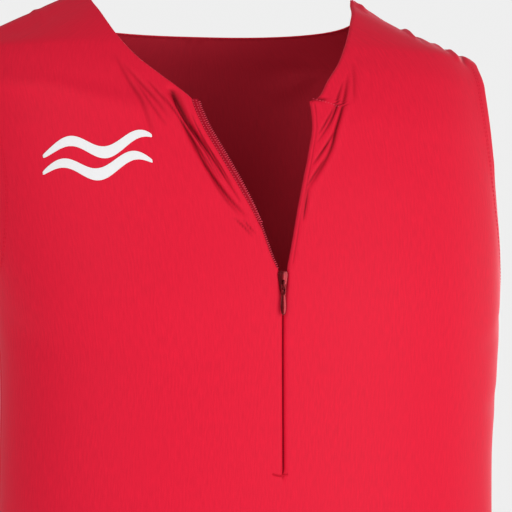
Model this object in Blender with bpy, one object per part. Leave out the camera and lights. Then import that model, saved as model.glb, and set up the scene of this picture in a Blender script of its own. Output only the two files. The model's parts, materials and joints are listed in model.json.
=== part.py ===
"""Sleeveless one-piece triathlon suit, in the hollow form it keeps when it is worn.

The suit faces -Y, the wearer's right side is -X and +Z is up. The origin lies midway between
the two shoulder seams, at their mean height, where the wearer's shoulders carry the suit.
Lengths are in metres and angles in degrees. Every cut piece is a wall of cloth: its outer
face lies on the figure's surface, and its inner face one wall further in.

A place on the trunk is given by an angle and a height: 0 is the centre front, 90 the side,
180 the centre back. The wearer's left has positive angles and the right negative ones.
"""

import math
from collections import namedtuple

import bmesh
import bpy
from mathutils import Vector

# Cloth, seams and trims
CLOTH_WALL = 0.0012
TAPE_WALL = 0.0010
PRINT_WALL = 0.0005
SEAM_GAP = 0.0003
HALF_GAP = SEAM_GAP / 2

# Heights of the cut
NECK_POINT_Z = 0.022
SHOULDER_TIP_Z = -0.022
BACK_NECK_Z = 0.005
NECK_CORNER_Z = -0.060
OPENING_FOOT_Z = -0.1765
UNDERARM_Z = -0.184
ZIP_END_Z = -0.3145
WAIST_Z = -0.410
CROTCH_Z = -0.660
CROTCH_RISE = 0.075
HEM_Z = -0.850

# Angles of the shoulder seam, which lies forward of the shoulder's ridge, and of the armhole
SEAM_AT_NECK = 77.0
SEAM_AT_TIP = 81.5
ARMHOLE_FRONT_SCOOP = 17.0
ARMHOLE_BACK_SCOOP = 20.0
ARMHOLE_ROUNDNESS = 0.6
ARMHOLE_EASE = 0.6

# Thighs
HIP_X = 0.020
THIGH_LEAD = 0.10
THIGH_HALF_WIDTH = 0.0887
THIGH_HALF_DEPTH = 0.095
THIGH_CENTRE_Y = 0.008
HEM_CENTRE = 0.0935
HEM_HALF_WIDTH = 0.076
HEM_HALF_DEPTH = 0.079

# Zip
ZIP_TOP_X = 0.0222
ZIP_END_X = 0.0240
TAPE_WIDTH = 0.010
TAPE_SETBACK = 0.0015
TAPE_CLOSED_GAP = 0.0004
TAPE_SHOWN = 0.0036
TAPE_SHOWN_END = 0.0006
TAPE_TUCK_Z = -0.150

# Slider and pull
SLIDER_TOP_Z = -0.1775
SLIDER_LENGTH = 0.0145
SLIDER_TOP_HALF = 0.0032
SLIDER_FOOT_HALF = 0.0018
SLIDER_SHOULDER = 0.0015
SLIDER_TOE = 0.0008
SLIDER_PROUD = 0.0010
BRIDGE_WIDTH = 0.0010
BRIDGE_BAR = 0.0007
BRIDGE_HEIGHT = 0.0027
BRIDGE_SINK = 0.0002
BRIDGE_CHAMFER = 0.0010
BRIDGE_TOP_INSET = 0.0062
BRIDGE_FOOT_INSET = 0.0012
PULL_AXIS_ABOVE_FOOT = 0.0030
PULL_THICK = 0.0009
PULL_EYE_HALF_WIDTH = 0.0018
PULL_WINDOW_HALF_WIDTH = 0.0009
PULL_WINDOW_LENGTH = 0.0044
PULL_NECK_DOWN = 0.0068
PULL_NECK_HALF_WIDTH = 0.0015
PULL_BELLY_DOWN = 0.0135
PULL_BELLY_HALF_WIDTH = 0.0021
PULL_TIP_DOWN = 0.0187
PULL_LENGTH = 0.0205

# Tack at the zip's end and the motif on the wearer's right chest
TACK_RIGHT = 0.0073
TACK_LEFT = 0.0029
TACK_HEIGHT = 0.0016
TACK_DIP = 0.0012
TACK_WALL = 0.0010
MOTIF_CENTRE_X = -0.100
MOTIF_CENTRE_Z = -0.1000
MOTIF_HALF_LENGTH = 0.0350
MOTIF_STROKE = 0.0080
MOTIF_TIP_SHARE = 0.22
MOTIF_TIP_POWER = 0.6
MOTIF_SWING = 0.0052
MOTIF_WAVES = 1.5
MOTIF_SHIFT = 0.1
MOTIF_SPACING = 0.0145
MOTIF_SLANT = 0.10

# Numbers of faces
HALF_COLUMNS = 9
BACK_HALF_COLUMNS = 9
OPENING_ROWS = 8
WAIST_ROWS = 3
LEG_COLUMNS = 26
PELVIS_ROWS = 5
CROTCH_ROWS = 5
THIGH_ROWS = 5
TAPE_COLUMNS = 3
TACK_COLUMNS = 6
MOTIF_COLUMNS = 22

# Steps for differences of the surfaces: degrees, metres, and shares of a turn and of a stage
ANGLE_STEP = 0.5
HEIGHT_STEP = 0.001
TURN_STEP = 0.005
STAGE_STEP = 0.02

# Level sections of the figure. front and back are the depths from centre_y.
Section = namedtuple("Section", "z half_width front back centre_x centre_y")
SECTIONS = (
    Section(-0.700, 0.176, 0.100, 0.110, HIP_X, 0.000),
    Section(-0.585, 0.178, 0.105, 0.118, HIP_X, 0.000),
    Section(-0.480, 0.172, 0.106, 0.106, HIP_X, 0.000),
    Section(-0.410, 0.168, 0.105, 0.094, HIP_X, 0.000),
    Section(-0.358, 0.174, 0.107, 0.096, 0.0210, 0.000),
    Section(-0.303, 0.174, 0.109, 0.100, 0.0215, 0.000),
    Section(-0.238, 0.176, 0.112, 0.106, 0.0235, 0.000),
    Section(-0.184, 0.181, 0.115, 0.112, 0.0220, 0.000),
    Section(-0.128, 0.187, 0.112, 0.112, 0.0170, 0.000),
    Section(-0.078, 0.189, 0.104, 0.106, 0.0100, 0.000),
    Section(-0.042, 0.188, 0.094, 0.096, 0.0050, 0.003),
    Section(-0.020, 0.180, 0.084, 0.086, 0.0020, 0.006),
    Section(-0.008, 0.158, 0.077, 0.078, 0.0010, 0.008),
    Section(0.006, 0.128, 0.068, 0.070, 0.0000, 0.010),
    Section(0.022, 0.097, 0.060, 0.064, 0.0000, 0.012),
    Section(0.052, 0.072, 0.056, 0.060, -0.0010, 0.014),
)
SQUARENESS = 2.25

# Edges of the neck opening: how far right and left of the section's centre they lie.
Edge = namedtuple("Edge", "z right left")
OPENING_EDGE = (
    Edge(OPENING_FOOT_Z, 0.0032, 0.0042),
    Edge(-0.168, 0.0059, 0.0062),
    Edge(-0.153, 0.0098, 0.0105),
    Edge(-0.137, 0.0137, 0.0152),
    Edge(-0.117, 0.0210, 0.0218),
    Edge(-0.095, 0.0298, 0.0302),
    Edge(-0.075, 0.0375, 0.0366),
    Edge(NECK_CORNER_Z, 0.0402, 0.0380),
)
NECK_EDGE = (
    Edge(NECK_CORNER_Z, 0.0402 + TAPE_SHOWN, 0.0380),
    Edge(-0.0573, 0.0468, 0.0439),
    Edge(-0.044, 0.0606, 0.0545),
    Edge(-0.028, 0.0757, 0.0678),
    Edge(-0.010, 0.0857, 0.0787),
    Edge(0.004, 0.0902, 0.0865),
    Edge(0.0158, 0.0940, 0.0925),
    Edge(NECK_POINT_Z, 0.0946, 0.0946),
)

# Half the gap between the front's edges along the closed zip, widened round the slider.
Gap = namedtuple("Gap", "z half")
ZIP_GAPS = (
    Gap(ZIP_END_Z + 0.0015, 0.0009),
    Gap(-0.290, 0.0009),
    Gap(-0.265, 0.0009),
    Gap(-0.240, 0.0009),
    Gap(-0.218, 0.0009),
    Gap(-0.200, 0.0009),
    Gap(-0.193, 0.0022),
    Gap(-0.186, 0.0030),
    Gap(OPENING_FOOT_Z, 0.0037),
)

Finish = namedtuple("Finish", "colour roughness metallic")
FINISHES = {
    "suit_cloth": Finish((0.72, 0.014, 0.045), 0.62, 0.0),
    "zip_tape": Finish((0.50, 0.010, 0.035), 0.70, 0.0),
    "zip_metal": Finish((0.30, 0.008, 0.020), 0.35, 0.6),
    "print": Finish((0.90, 0.90, 0.92), 0.45, 0.0),
}


def smooth(rows, z):
    """Interpolate the columns of a table, sorted by z, without overshooting between its rows."""

    def slope(k):
        if k in (0, len(rows) - 1):
            return [0.0] * len(rows[0])
        below, here, above = rows[k - 1], rows[k], rows[k + 1]
        slopes = []
        for a, b, c in zip(below, here, above):
            lower = (b - a) / (here[0] - below[0])
            upper = (c - b) / (above[0] - here[0])
            slopes.append(2 * lower * upper / (lower + upper) if lower * upper > 0 else 0.0)
        return slopes

    k = max(i for i in range(len(rows) - 1) if i == 0 or rows[i][0] <= z)
    height = rows[k + 1][0] - rows[k][0]
    u = clamp((z - rows[k][0]) / height)
    start = 2 * u**3 - 3 * u**2 + 1
    columns = zip(rows[k], rows[k + 1], slope(k), slope(k + 1))
    values = [
        start * a + (1 - start) * b + height * ((u**3 - 2 * u**2 + u) * m + (u**3 - u**2) * n)
        for a, b, m, n in columns
    ]
    return type(rows[0])(*values)


def mix(a, b, share):
    return a + (b - a) * share


def clamp(share):
    return min(max(share, 0.0), 1.0)


def fractions(count):
    return [k / count for k in range(count + 1)]


def power(value, exponent):
    return math.copysign(abs(value) ** exponent, value)


def trunk_point(angle, z):
    """The point of the figure's surface at this angle and height."""
    s = smooth(SECTIONS, z)
    turn = math.radians(angle)
    depth = s.front if math.cos(turn) > 0 else s.back
    x = s.centre_x + s.half_width * power(math.sin(turn), 2 / SQUARENESS)
    y = s.centre_y - depth * power(math.cos(turn), 2 / SQUARENESS)
    return Vector((x, y, z))


def trunk_place(angle, z):
    """A surface point with its outward normal."""
    along = trunk_point(angle + ANGLE_STEP, z) - trunk_point(angle - ANGLE_STEP, z)
    up = trunk_point(angle, z + HEIGHT_STEP) - trunk_point(angle, z - HEIGHT_STEP)
    return trunk_point(angle, z), along.cross(up).normalized()


def angle_at(x_from_centre, z):
    """The front angle whose point lies this far left (+) or right (-) of the section's centre."""
    share = abs(x_from_centre) / smooth(SECTIONS, z).half_width
    turn = math.degrees(math.asin(min(share ** (SQUARENESS / 2), 1.0)))
    return math.copysign(turn, x_from_centre)


def turned(angle, z, distance):
    """The angle reached by going this distance round the section."""
    metres_per_degree = (trunk_point(angle + 1, z) - trunk_point(angle - 1, z)).length / 2
    return angle + distance / metres_per_degree


class Piece:
    """Gathers the faces of one piece and turns them into a closed wall."""

    def __init__(self, name, finish, wall=CLOTH_WALL, lift=0.0):
        self.name = name
        self.finish = finish
        self.wall = wall
        self.lift = lift
        self.places = []
        self.index = {}
        self.faces = []

    def vertex(self, place):
        key = tuple(round(c, 6) for c in place[0])
        if key not in self.index:
            self.index[key] = len(self.places)
            self.places.append(place)
        return self.index[key]

    def patch(self, rows):
        """Add a grid of places, given as rows of equal length, facing along their normals."""
        ids = [[self.vertex(place) for place in row] for row in rows]
        for low, high in zip(ids, ids[1:]):
            for j in range(len(low) - 1):
                quad = (low[j], low[j + 1], high[j + 1], high[j])
                for triangle in self.halves(quad):
                    if len(set(triangle)) == 3:
                        self.faces.append(self.facing_out(list(triangle)))

    def halves(self, quad):
        """Split a four-cornered face along its shorter diagonal."""
        a, b, c, d = quad
        points = [self.places[i][0] for i in quad]
        if (points[0] - points[2]).length < (points[1] - points[3]).length:
            return (a, b, c), (a, c, d)
        return (a, b, d), (b, c, d)

    def facing_out(self, triangle):
        a, b, c = (self.places[i][0] for i in triangle)
        outward = sum((self.places[i][1] for i in triangle), Vector())
        return triangle if (b - a).cross(c - a).dot(outward) > 0 else triangle[::-1]

    def build(self):
        """Make the object: outer face, inner face, and a rim along every free edge."""
        count = len(self.places)
        outer = [p + n * self.lift for p, n in self.places]
        inner = [p + n * (self.lift - self.wall) for p, n in self.places]
        faces = list(self.faces)
        faces += [[i + count for i in reversed(face)] for face in self.faces]
        edges = {edge for face in self.faces for edge in zip(face, face[1:] + face[:1])}
        for a, b in sorted(edges):
            if (b, a) not in edges:
                faces.append([b, a, a + count, b + count])
        mesh = bpy.data.meshes.new(self.name)
        mesh.from_pydata(outer + inner, [], faces)
        return add_object(self.name, mesh, self.finish)


def add_object(name, mesh, finish):
    """Link a mesh as a named object with a material of its own."""
    mesh.validate()
    material = bpy.data.materials.new(name)
    material.use_nodes = True
    shader = material.node_tree.nodes["Principled BSDF"]
    look = FINISHES[finish]
    shader.inputs["Base Color"].default_value = (*look.colour, 1.0)
    shader.inputs["Roughness"].default_value = look.roughness
    shader.inputs["Metallic"].default_value = look.metallic
    mesh.materials.append(material)
    made = bpy.data.objects.new(name, mesh)
    bpy.context.scene.collection.objects.link(made)
    return made


# The cut: edges as (angle, height) pairs. side is -1 for the wearer's right and 1 for the left.


def zip_x(z):
    """How far the zip's line lies from the section's centre."""
    share = (z - ZIP_END_Z) / (OPENING_FOOT_Z - ZIP_END_Z)
    line = mix(ZIP_END_X, ZIP_TOP_X, clamp(share))
    return line - smooth(SECTIONS, z).centre_x


def opening_edge(side, z):
    """Where the neck opening's free edge lies, from the section's centre, signed."""
    edge = smooth(OPENING_EDGE if z < NECK_CORNER_Z else NECK_EDGE, z)
    return edge.left if side > 0 else -edge.right


def shown_tape(z):
    """How far the wearer's right tape stands out past the cloth's edge."""
    share = clamp((z - NECK_CORNER_Z) / (TAPE_TUCK_Z - NECK_CORNER_Z))
    return mix(TAPE_SHOWN, TAPE_SHOWN_END, share**4)


def cloth_edge(side, z):
    """The front's edge on the opening, signed, with the tape's strip taken off on the right."""
    x = opening_edge(side, z)
    if side < 0 and z < NECK_CORNER_Z:
        x -= shown_tape(z)
    return x


def armhole(share, scoop):
    """The armhole's edge from the underarm (0) to the shoulder tip (1), on the left side."""
    eased = mix(share, (1 - math.cos(math.pi * share)) / 2, ARMHOLE_EASE)
    z = mix(UNDERARM_Z, SHOULDER_TIP_Z, eased)
    bow = scoop * max(math.sin(math.pi * share), 0.0) ** ARMHOLE_ROUNDNESS
    return mix(90.0, SEAM_AT_TIP, share) + bow, z


def side_height(z):
    """The height on the side seam of the row that crosses the centre front at z."""
    share = (z - WAIST_Z) / (OPENING_FOOT_Z - WAIST_Z)
    return mix(WAIST_Z, UNDERARM_Z, share)


def trunk_heights():
    """The centre front heights of the rows below the neck opening."""
    low, high = WAIST_Z + HALF_GAP, ZIP_END_Z
    return [mix(low, high, k) for k in fractions(WAIST_ROWS)] + [gap.z for gap in ZIP_GAPS]


def opening_heights():
    """The heights at which the upper rows meet the neck opening's edge."""
    rows = [mix(OPENING_FOOT_Z, NECK_CORNER_Z, k) for k in fractions(OPENING_ROWS)]
    return rows + [edge.z for edge in NECK_EDGE[1:]]


class Row:
    """One row of a trunk piece's half, from its inner edge to the side."""

    def __init__(self, side, inner, outer):
        self.side = side
        self.inner = inner
        self.outer = outer
        self.length = (trunk_point(*outer) - trunk_point(*inner)).length

    def at(self, share):
        angle = mix(self.inner[0], self.outer[0], share)
        return trunk_place(angle, mix(self.inner[1], self.outer[1], share))

    def near_edge(self, distance):
        """The angle and height this far outwards from the inner edge; negative goes past it."""
        share = distance / self.length
        z = mix(self.inner[1], self.outer[1], share)
        if self.inner[1] > NECK_CORNER_Z:
            return mix(self.inner[0], self.outer[0], share), z
        x = trunk_point(*self.inner).x - smooth(SECTIONS, self.inner[1]).centre_x
        return angle_at(x + self.side * distance, z), z

    def front_places(self):
        """A first column as wide as the zip's tape, then even ones."""
        rest = Row(self.side, self.near_edge(TAPE_WIDTH), self.outer)
        return [self.at(0)] + [rest.at(k) for k in fractions(HALF_COLUMNS)]


def front_rows(side):
    """Every row of the front's half, from the waist to the shoulder seam."""
    gaps = {gap.z: gap.half for gap in ZIP_GAPS}
    rows = []
    for z in trunk_heights():
        low = side_height(z)
        inner = angle_at(zip_x(z) + side * gaps.get(z, 0.0), z), z
        rows.append(Row(side, inner, (side * turned(90, low, -HALF_GAP), low)))
    for z in opening_heights()[1:]:
        share = (z - OPENING_FOOT_Z) / (NECK_POINT_Z - OPENING_FOOT_Z)
        angle, high = armhole(share, -ARMHOLE_FRONT_SCOOP)
        outer = side * turned(angle, high, -HALF_GAP), high
        inner = angle_at(cloth_edge(side, z), z), z
        if share == 1:
            inner = side * turned(SEAM_AT_NECK, z, -HALF_GAP), z
        rows.append(Row(side, inner, outer))
    return rows


def back_rows(side):
    """Every row of the back's half, from the centre back or the neck edge to the side."""
    rows = []
    for z in trunk_heights():
        low = side_height(z)
        rows.append(Row(side, (side * 180, low), (side * turned(90, low, HALF_GAP), low)))
    seam = turned(SEAM_AT_NECK, NECK_POINT_Z, HALF_GAP)
    for z in opening_heights()[1:]:
        share = (z - OPENING_FOOT_Z) / (NECK_POINT_Z - OPENING_FOOT_Z)
        angle, high = armhole(share, ARMHOLE_BACK_SCOOP)
        outer = side * turned(angle, high, HALF_GAP), high
        below = clamp((z - OPENING_FOOT_Z) / (NECK_CORNER_Z - OPENING_FOOT_Z))
        neck = clamp((z - NECK_CORNER_Z) / (NECK_POINT_Z - NECK_CORNER_Z))
        climb = mix(UNDERARM_Z, BACK_NECK_Z, below)
        inner = side * mix(180, seam, neck), mix(climb, NECK_POINT_Z, neck**2)
        rows.append(Row(side, inner, outer))
    return rows


def build_front():
    front = Piece("front", "suit_cloth")
    for side in (-1, 1):
        front.patch([row.front_places() for row in front_rows(side)])
    return front.build()


def build_back():
    back = Piece("back", "suit_cloth")
    for side in (-1, 1):
        rows = back_rows(side)
        back.patch([[row.at(k) for k in fractions(BACK_HALF_COLUMNS)] for row in rows])
    return back.build()


def hip_angle(turn):
    """The trunk's angle at a leg piece's turn, so that a quarter turn lies over the thigh."""
    return 180 * (turn - THIGH_LEAD * math.sin(2 * math.pi * turn))


def leg_point(side, turn, stage):
    """A leg piece's surface. turn goes from its front edge (0) round the outside to its back
    edge (1). stage goes from waist (0) to the crotch curve (1), crotch point (2) and hem (3)."""
    if stage < 1:
        point = trunk_point(hip_angle(turn), mix(WAIST_Z - HALF_GAP, CROTCH_Z + CROTCH_RISE, stage))
        return Vector((HIP_X + side * (HALF_GAP + point.x - HIP_X), point.y, point.z))
    around = 2 * math.pi * turn
    if stage > 2:
        down = stage - 2
        across = mix(THIGH_HALF_WIDTH + HALF_GAP, HEM_CENTRE, down)
        across -= mix(THIGH_HALF_WIDTH, HEM_HALF_WIDTH, down) * math.cos(around)
        y = mix(THIGH_CENTRE_Y, 0, down)
        y -= mix(THIGH_HALF_DEPTH, HEM_HALF_DEPTH, down) * math.sin(around)
        return Vector((HIP_X + side * across, y, mix(CROTCH_Z, HEM_Z, down)))
    quarter = math.pi / 2 * (stage - 1)
    closed = 1 - math.cos(quarter)
    outside_z = mix(CROTCH_Z + CROTCH_RISE, CROTCH_Z, stage - 1)
    edge_z = CROTCH_Z + CROTCH_RISE * (1 - math.sin(quarter))
    hip = trunk_point(hip_angle(turn), outside_z)
    thigh_x = THIGH_HALF_WIDTH * (1 - math.cos(around))
    thigh_y = THIGH_CENTRE_Y - THIGH_HALF_DEPTH * math.sin(around)
    across = HALF_GAP + mix(hip.x - HIP_X, thigh_x, closed)
    y = mix(hip.y, thigh_y, closed)
    z = mix(outside_z, edge_z, math.cos(math.pi * turn) ** 4)
    return Vector((HIP_X + side * across, y, z))


def leg_place(side, turn, stage):
    """A leg's point and normal. On the centre seam the normal has no sideways part."""
    low, high = turn - TURN_STEP, turn + TURN_STEP
    if stage < 2:
        low, high = clamp(low), clamp(high)
    along = leg_point(side, high, stage) - leg_point(side, low, stage)
    below = min(stage + STAGE_STEP, 3.0)
    above = max(stage - STAGE_STEP, 0.0)
    down = leg_point(side, turn, below) - leg_point(side, turn, above)
    normal = (down.cross(along) * side).normalized()
    if stage < 2 and turn in (0, 1):
        normal.x = 0
        normal.normalize()
    return leg_point(side, turn, stage), normal


def build_leg(name, side):
    leg = Piece(name, "suit_cloth")
    stages = fractions(PELVIS_ROWS)
    stages += [1 + k for k in fractions(CROTCH_ROWS)[1:]]
    stages += [2 + k for k in fractions(THIGH_ROWS)[1:]]
    turns = fractions(LEG_COLUMNS)
    leg.patch([[leg_place(side, turn, stage) for turn in turns] for stage in stages])
    return leg.build()


def build_tape(name, side):
    """Half of the zip's tape, behind the front's edge from the zip's end to the neck corner."""
    tape = Piece(name, "zip_tape", TAPE_WALL, -CLOTH_WALL - SEAM_GAP)
    rows = []
    gaps = {gap.z: gap.half for gap in ZIP_GAPS}
    for row in front_rows(side):
        z = row.inner[1]
        if not ZIP_END_Z <= z <= NECK_CORNER_Z:
            continue
        if z <= OPENING_FOOT_Z:
            start = TAPE_CLOSED_GAP - gaps.get(z, 0.0)
        else:
            start = -shown_tape(z) if side < 0 else TAPE_SETBACK
        reach = TAPE_WIDTH if start < 0 else TAPE_WIDTH + start
        columns = fractions(TAPE_COLUMNS)
        rows.append([trunk_place(*row.near_edge(mix(start, reach, k))) for k in columns])
    tape.patch(rows)
    return tape.build()


def prism(name, finish, outline, holes, to_world, low, high):
    """A plate between two offsets, with an outline and any holes given as (across, up)."""
    bm = bmesh.new()
    loops = []
    for loop in [outline, *holes]:
        vertices = [bm.verts.new((across, up, 0)) for across, up in loop]
        loops += [bm.edges.new(pair) for pair in zip(vertices, vertices[1:] + vertices[:1])]
    bmesh.ops.triangle_fill(bm, use_beauty=True, edges=loops)
    flat = bm.faces[:]
    raised = bmesh.ops.extrude_face_region(bm, geom=flat, use_keep_orig=True)["geom"]
    lifted = {v for v in raised if isinstance(v, bmesh.types.BMVert)}
    for vertex in bm.verts:
        out = high if vertex in lifted else low
        vertex.co = to_world(vertex.co.x, vertex.co.y, out)
    bmesh.ops.recalc_face_normals(bm, faces=bm.faces)
    mesh = bpy.data.meshes.new(name)
    bm.to_mesh(mesh)
    bm.free()
    return add_object(name, mesh, finish)


def slider_top():
    """The slider's top centre on the cloth's outer face."""
    x = zip_x(SLIDER_TOP_Z) + smooth(SECTIONS, SLIDER_TOP_Z).centre_x
    y = trunk_point(angle_at(zip_x(SLIDER_TOP_Z), SLIDER_TOP_Z), SLIDER_TOP_Z).y
    return Vector((x, y, SLIDER_TOP_Z))


def mirrored(right_side):
    """A closed outline from its right side, as (across, up) from the top down."""
    return right_side + [(-across, up) for across, up in reversed(right_side)]


def build_slider():
    """A tapered body between the cloth's edges, with a bridge that the pull hooks under."""
    top = slider_top()
    foot = -SLIDER_LENGTH

    def on_front(across, up, out):
        return top + Vector((across, -out, up))

    def on_side(out, up, across):
        return on_front(across, up, out)

    outline = mirrored(
        [
            (SLIDER_TOP_HALF * 0.7, 0),
            (SLIDER_TOP_HALF, -SLIDER_SHOULDER),
            (SLIDER_TOP_HALF * 0.9, foot * 0.45),
            (SLIDER_FOOT_HALF, foot + SLIDER_TOE),
            (SLIDER_FOOT_HALF * 0.6, foot),
        ]
    )
    body = prism("zip_slider", "zip_metal", outline, [], on_front, -CLOTH_WALL, SLIDER_PROUD)
    high, low = -BRIDGE_TOP_INSET, foot + BRIDGE_FOOT_INSET
    face, crest = SLIDER_PROUD - BRIDGE_SINK, SLIDER_PROUD + BRIDGE_HEIGHT
    arch = [
        (face, high),
        (crest - BRIDGE_CHAMFER, high),
        (crest, high - BRIDGE_CHAMFER),
        (crest, low + BRIDGE_CHAMFER),
        (crest - BRIDGE_CHAMFER, low),
        (face, low),
        (face, low + BRIDGE_BAR),
        (crest - BRIDGE_BAR, low + BRIDGE_BAR),
        (crest - BRIDGE_BAR, high - BRIDGE_BAR),
        (face, high - BRIDGE_BAR),
    ]
    half = BRIDGE_WIDTH / 2
    bridge = prism("zip_bridge", "zip_metal", arch, [], on_side, -half, half)
    union = body.modifiers.new("bridge", "BOOLEAN")
    union.operation = "UNION"
    union.object = bridge
    bridge.hide_render = True
    bridge.display_type = "WIRE"
    return body


def build_pull():
    """A flat tab with a window at its head; the bar above the window is the hinge's pin."""
    axis = slider_top()
    axis.z += BRIDGE_FOOT_INSET + BRIDGE_BAR + PULL_AXIS_ABOVE_FOOT - SLIDER_LENGTH
    axis.y -= SLIDER_PROUD + (BRIDGE_HEIGHT - BRIDGE_BAR) / 2
    half = PULL_THICK / 2
    outline = mirrored(
        [
            (PULL_EYE_HALF_WIDTH * 0.6, half),
            (PULL_EYE_HALF_WIDTH, 0),
            (PULL_EYE_HALF_WIDTH, -half - PULL_WINDOW_LENGTH),
            (PULL_NECK_HALF_WIDTH, -PULL_NECK_DOWN),
            (PULL_BELLY_HALF_WIDTH, -PULL_BELLY_DOWN),
            (PULL_BELLY_HALF_WIDTH * 0.8, -PULL_TIP_DOWN),
            (PULL_BELLY_HALF_WIDTH * 0.3, -PULL_LENGTH),
        ]
    )
    window = mirrored(
        [
            (PULL_WINDOW_HALF_WIDTH, -half),
            (PULL_WINDOW_HALF_WIDTH, -half - PULL_WINDOW_LENGTH),
        ]
    )

    def upright(across, up, out):
        return Vector((across, -out, up))

    pull = prism("zip_pull", "zip_metal", outline, [window], upright, -half, half)
    pull.location = axis
    return pull


def build_tack():
    """The bar tack under the zip's end, its ends turned up a little."""
    tack = Piece("zip_tack", "zip_tape", TACK_WALL, SEAM_GAP + TACK_WALL)
    columns = []
    for k in fractions(TACK_COLUMNS):
        x = zip_x(ZIP_END_Z) + mix(-TACK_RIGHT, TACK_LEFT, k)
        z = ZIP_END_Z - TACK_DIP * math.sin(math.pi * k)
        columns.append([(x, z - TACK_HEIGHT / 2), (x, z + TACK_HEIGHT / 2)])
    tack.patch([[trunk_place(angle_at(x, z), z) for x, z in column] for column in columns])
    return tack.build()


def build_motif(name, order):
    """One of two wave-shaped ribbons printed on the wearer's right chest."""
    ribbon = Piece(name, "print", PRINT_WALL, SEAM_GAP + PRINT_WALL)
    columns = []
    for k in fractions(MOTIF_COLUMNS):
        along = mix(-MOTIF_HALF_LENGTH, MOTIF_HALF_LENGTH, k)
        wave = MOTIF_SWING * math.sin(2 * math.pi * (MOTIF_WAVES * k - MOTIF_SHIFT * order))
        middle = MOTIF_CENTRE_Z + MOTIF_SLANT * along + wave + (order - 0.5) * MOTIF_SPACING
        swell = clamp(math.sin(math.pi * k)) ** MOTIF_TIP_POWER
        half = MOTIF_STROKE / 2 * mix(MOTIF_TIP_SHARE, 1.0, swell)
        x = MOTIF_CENTRE_X + along - smooth(SECTIONS, middle).centre_x
        columns.append([(x, middle - half), (x, middle + half)])
    ribbon.patch([[trunk_place(angle_at(x, z), z) for x, z in column] for column in columns])
    return ribbon.build()


def main():
    for old in list(bpy.data.objects):
        bpy.data.objects.remove(old, do_unlink=True)
    build_front()
    build_back()
    build_leg("leg_right", -1)
    build_leg("leg_left", 1)
    build_tape("zip_tape_right", -1)
    build_tape("zip_tape_left", 1)
    build_slider()
    build_pull()
    build_tack()
    build_motif("chest_motif_lower", 0)
    build_motif("chest_motif_upper", 1)


main()
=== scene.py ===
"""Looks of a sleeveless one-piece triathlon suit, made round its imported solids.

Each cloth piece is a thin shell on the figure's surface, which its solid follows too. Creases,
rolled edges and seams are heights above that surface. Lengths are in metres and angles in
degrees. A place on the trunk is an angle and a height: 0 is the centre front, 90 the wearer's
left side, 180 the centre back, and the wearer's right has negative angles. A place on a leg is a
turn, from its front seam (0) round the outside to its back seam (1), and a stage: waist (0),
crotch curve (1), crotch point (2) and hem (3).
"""

import json
import logging
import math
from collections.abc import Callable, Mapping, Sequence
from dataclasses import dataclass, field
from enum import Enum
from typing import Any, NamedTuple

import bmesh
import bpy
import numpy as np
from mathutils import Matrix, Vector

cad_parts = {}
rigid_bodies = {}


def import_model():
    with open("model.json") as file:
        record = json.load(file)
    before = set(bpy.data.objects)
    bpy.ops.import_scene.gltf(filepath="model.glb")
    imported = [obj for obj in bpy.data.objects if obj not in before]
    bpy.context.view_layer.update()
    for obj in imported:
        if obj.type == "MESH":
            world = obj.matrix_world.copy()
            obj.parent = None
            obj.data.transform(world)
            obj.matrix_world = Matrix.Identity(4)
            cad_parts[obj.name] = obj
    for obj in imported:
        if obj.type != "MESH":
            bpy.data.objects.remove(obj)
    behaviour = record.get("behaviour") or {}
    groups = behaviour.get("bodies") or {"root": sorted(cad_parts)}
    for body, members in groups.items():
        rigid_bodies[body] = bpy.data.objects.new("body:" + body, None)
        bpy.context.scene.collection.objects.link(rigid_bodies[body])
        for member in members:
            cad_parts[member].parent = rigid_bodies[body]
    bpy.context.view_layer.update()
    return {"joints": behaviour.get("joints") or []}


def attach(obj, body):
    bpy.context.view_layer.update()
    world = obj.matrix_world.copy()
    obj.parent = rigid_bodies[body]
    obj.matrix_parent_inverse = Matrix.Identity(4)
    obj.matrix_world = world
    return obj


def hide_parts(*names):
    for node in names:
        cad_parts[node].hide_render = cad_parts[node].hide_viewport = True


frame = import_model()
log = logging.getLogger("suit")

Array = np.ndarray
Colour = tuple[float, float, float]
Place = tuple[float, float]
Surface = Callable[[Array, Array], Array]

SUIT_BODY = frame["joints"][0]["parent"]
PULL_BODY = frame["joints"][0]["child"]
PULL_AXIS = np.array(frame["joints"][0]["pos_m"], float)


class Side(Enum):
    """The wearer's side that a half, a tape or a leg is on."""

    RIGHT = -1
    LEFT = 1


# ---------------------------------------------------------------------------------------------
# Numbers
# ---------------------------------------------------------------------------------------------


def mix(a: Any, b: Any, share: Any) -> Any:
    """Blend from a (share 0) to b (share 1)."""
    return a + (b - a) * share


def clamp(share: Any) -> Any:
    """Keep a share between 0 and 1."""
    return np.clip(share, 0.0, 1.0)


def ease(share: Any) -> Any:
    """A share that starts and stops gently."""
    share = clamp(share)
    return share * share * (3 - 2 * share)


def power(value: Array, exponent: float) -> Array:
    """Raise to a power and keep the sign."""
    return np.sign(value) * np.abs(value) ** exponent


def unit(vectors: Array) -> Array:
    """Vectors scaled to length 1."""
    return vectors / np.maximum(np.linalg.norm(vectors, axis=-1, keepdims=True), 1e-12)


def steps(*stretches: tuple[float, float, int]) -> Array:
    """Shares from 0 to 1 whose spacing changes.

    Args:
        stretches: For each stretch its first and last share and its number of steps.

    Returns:
        The shares, with each stretch's end given once.
    """
    parts = [np.linspace(low, high, count, endpoint=False) for low, high, count in stretches]
    return np.append(np.concatenate(parts), stretches[-1][1])


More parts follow.
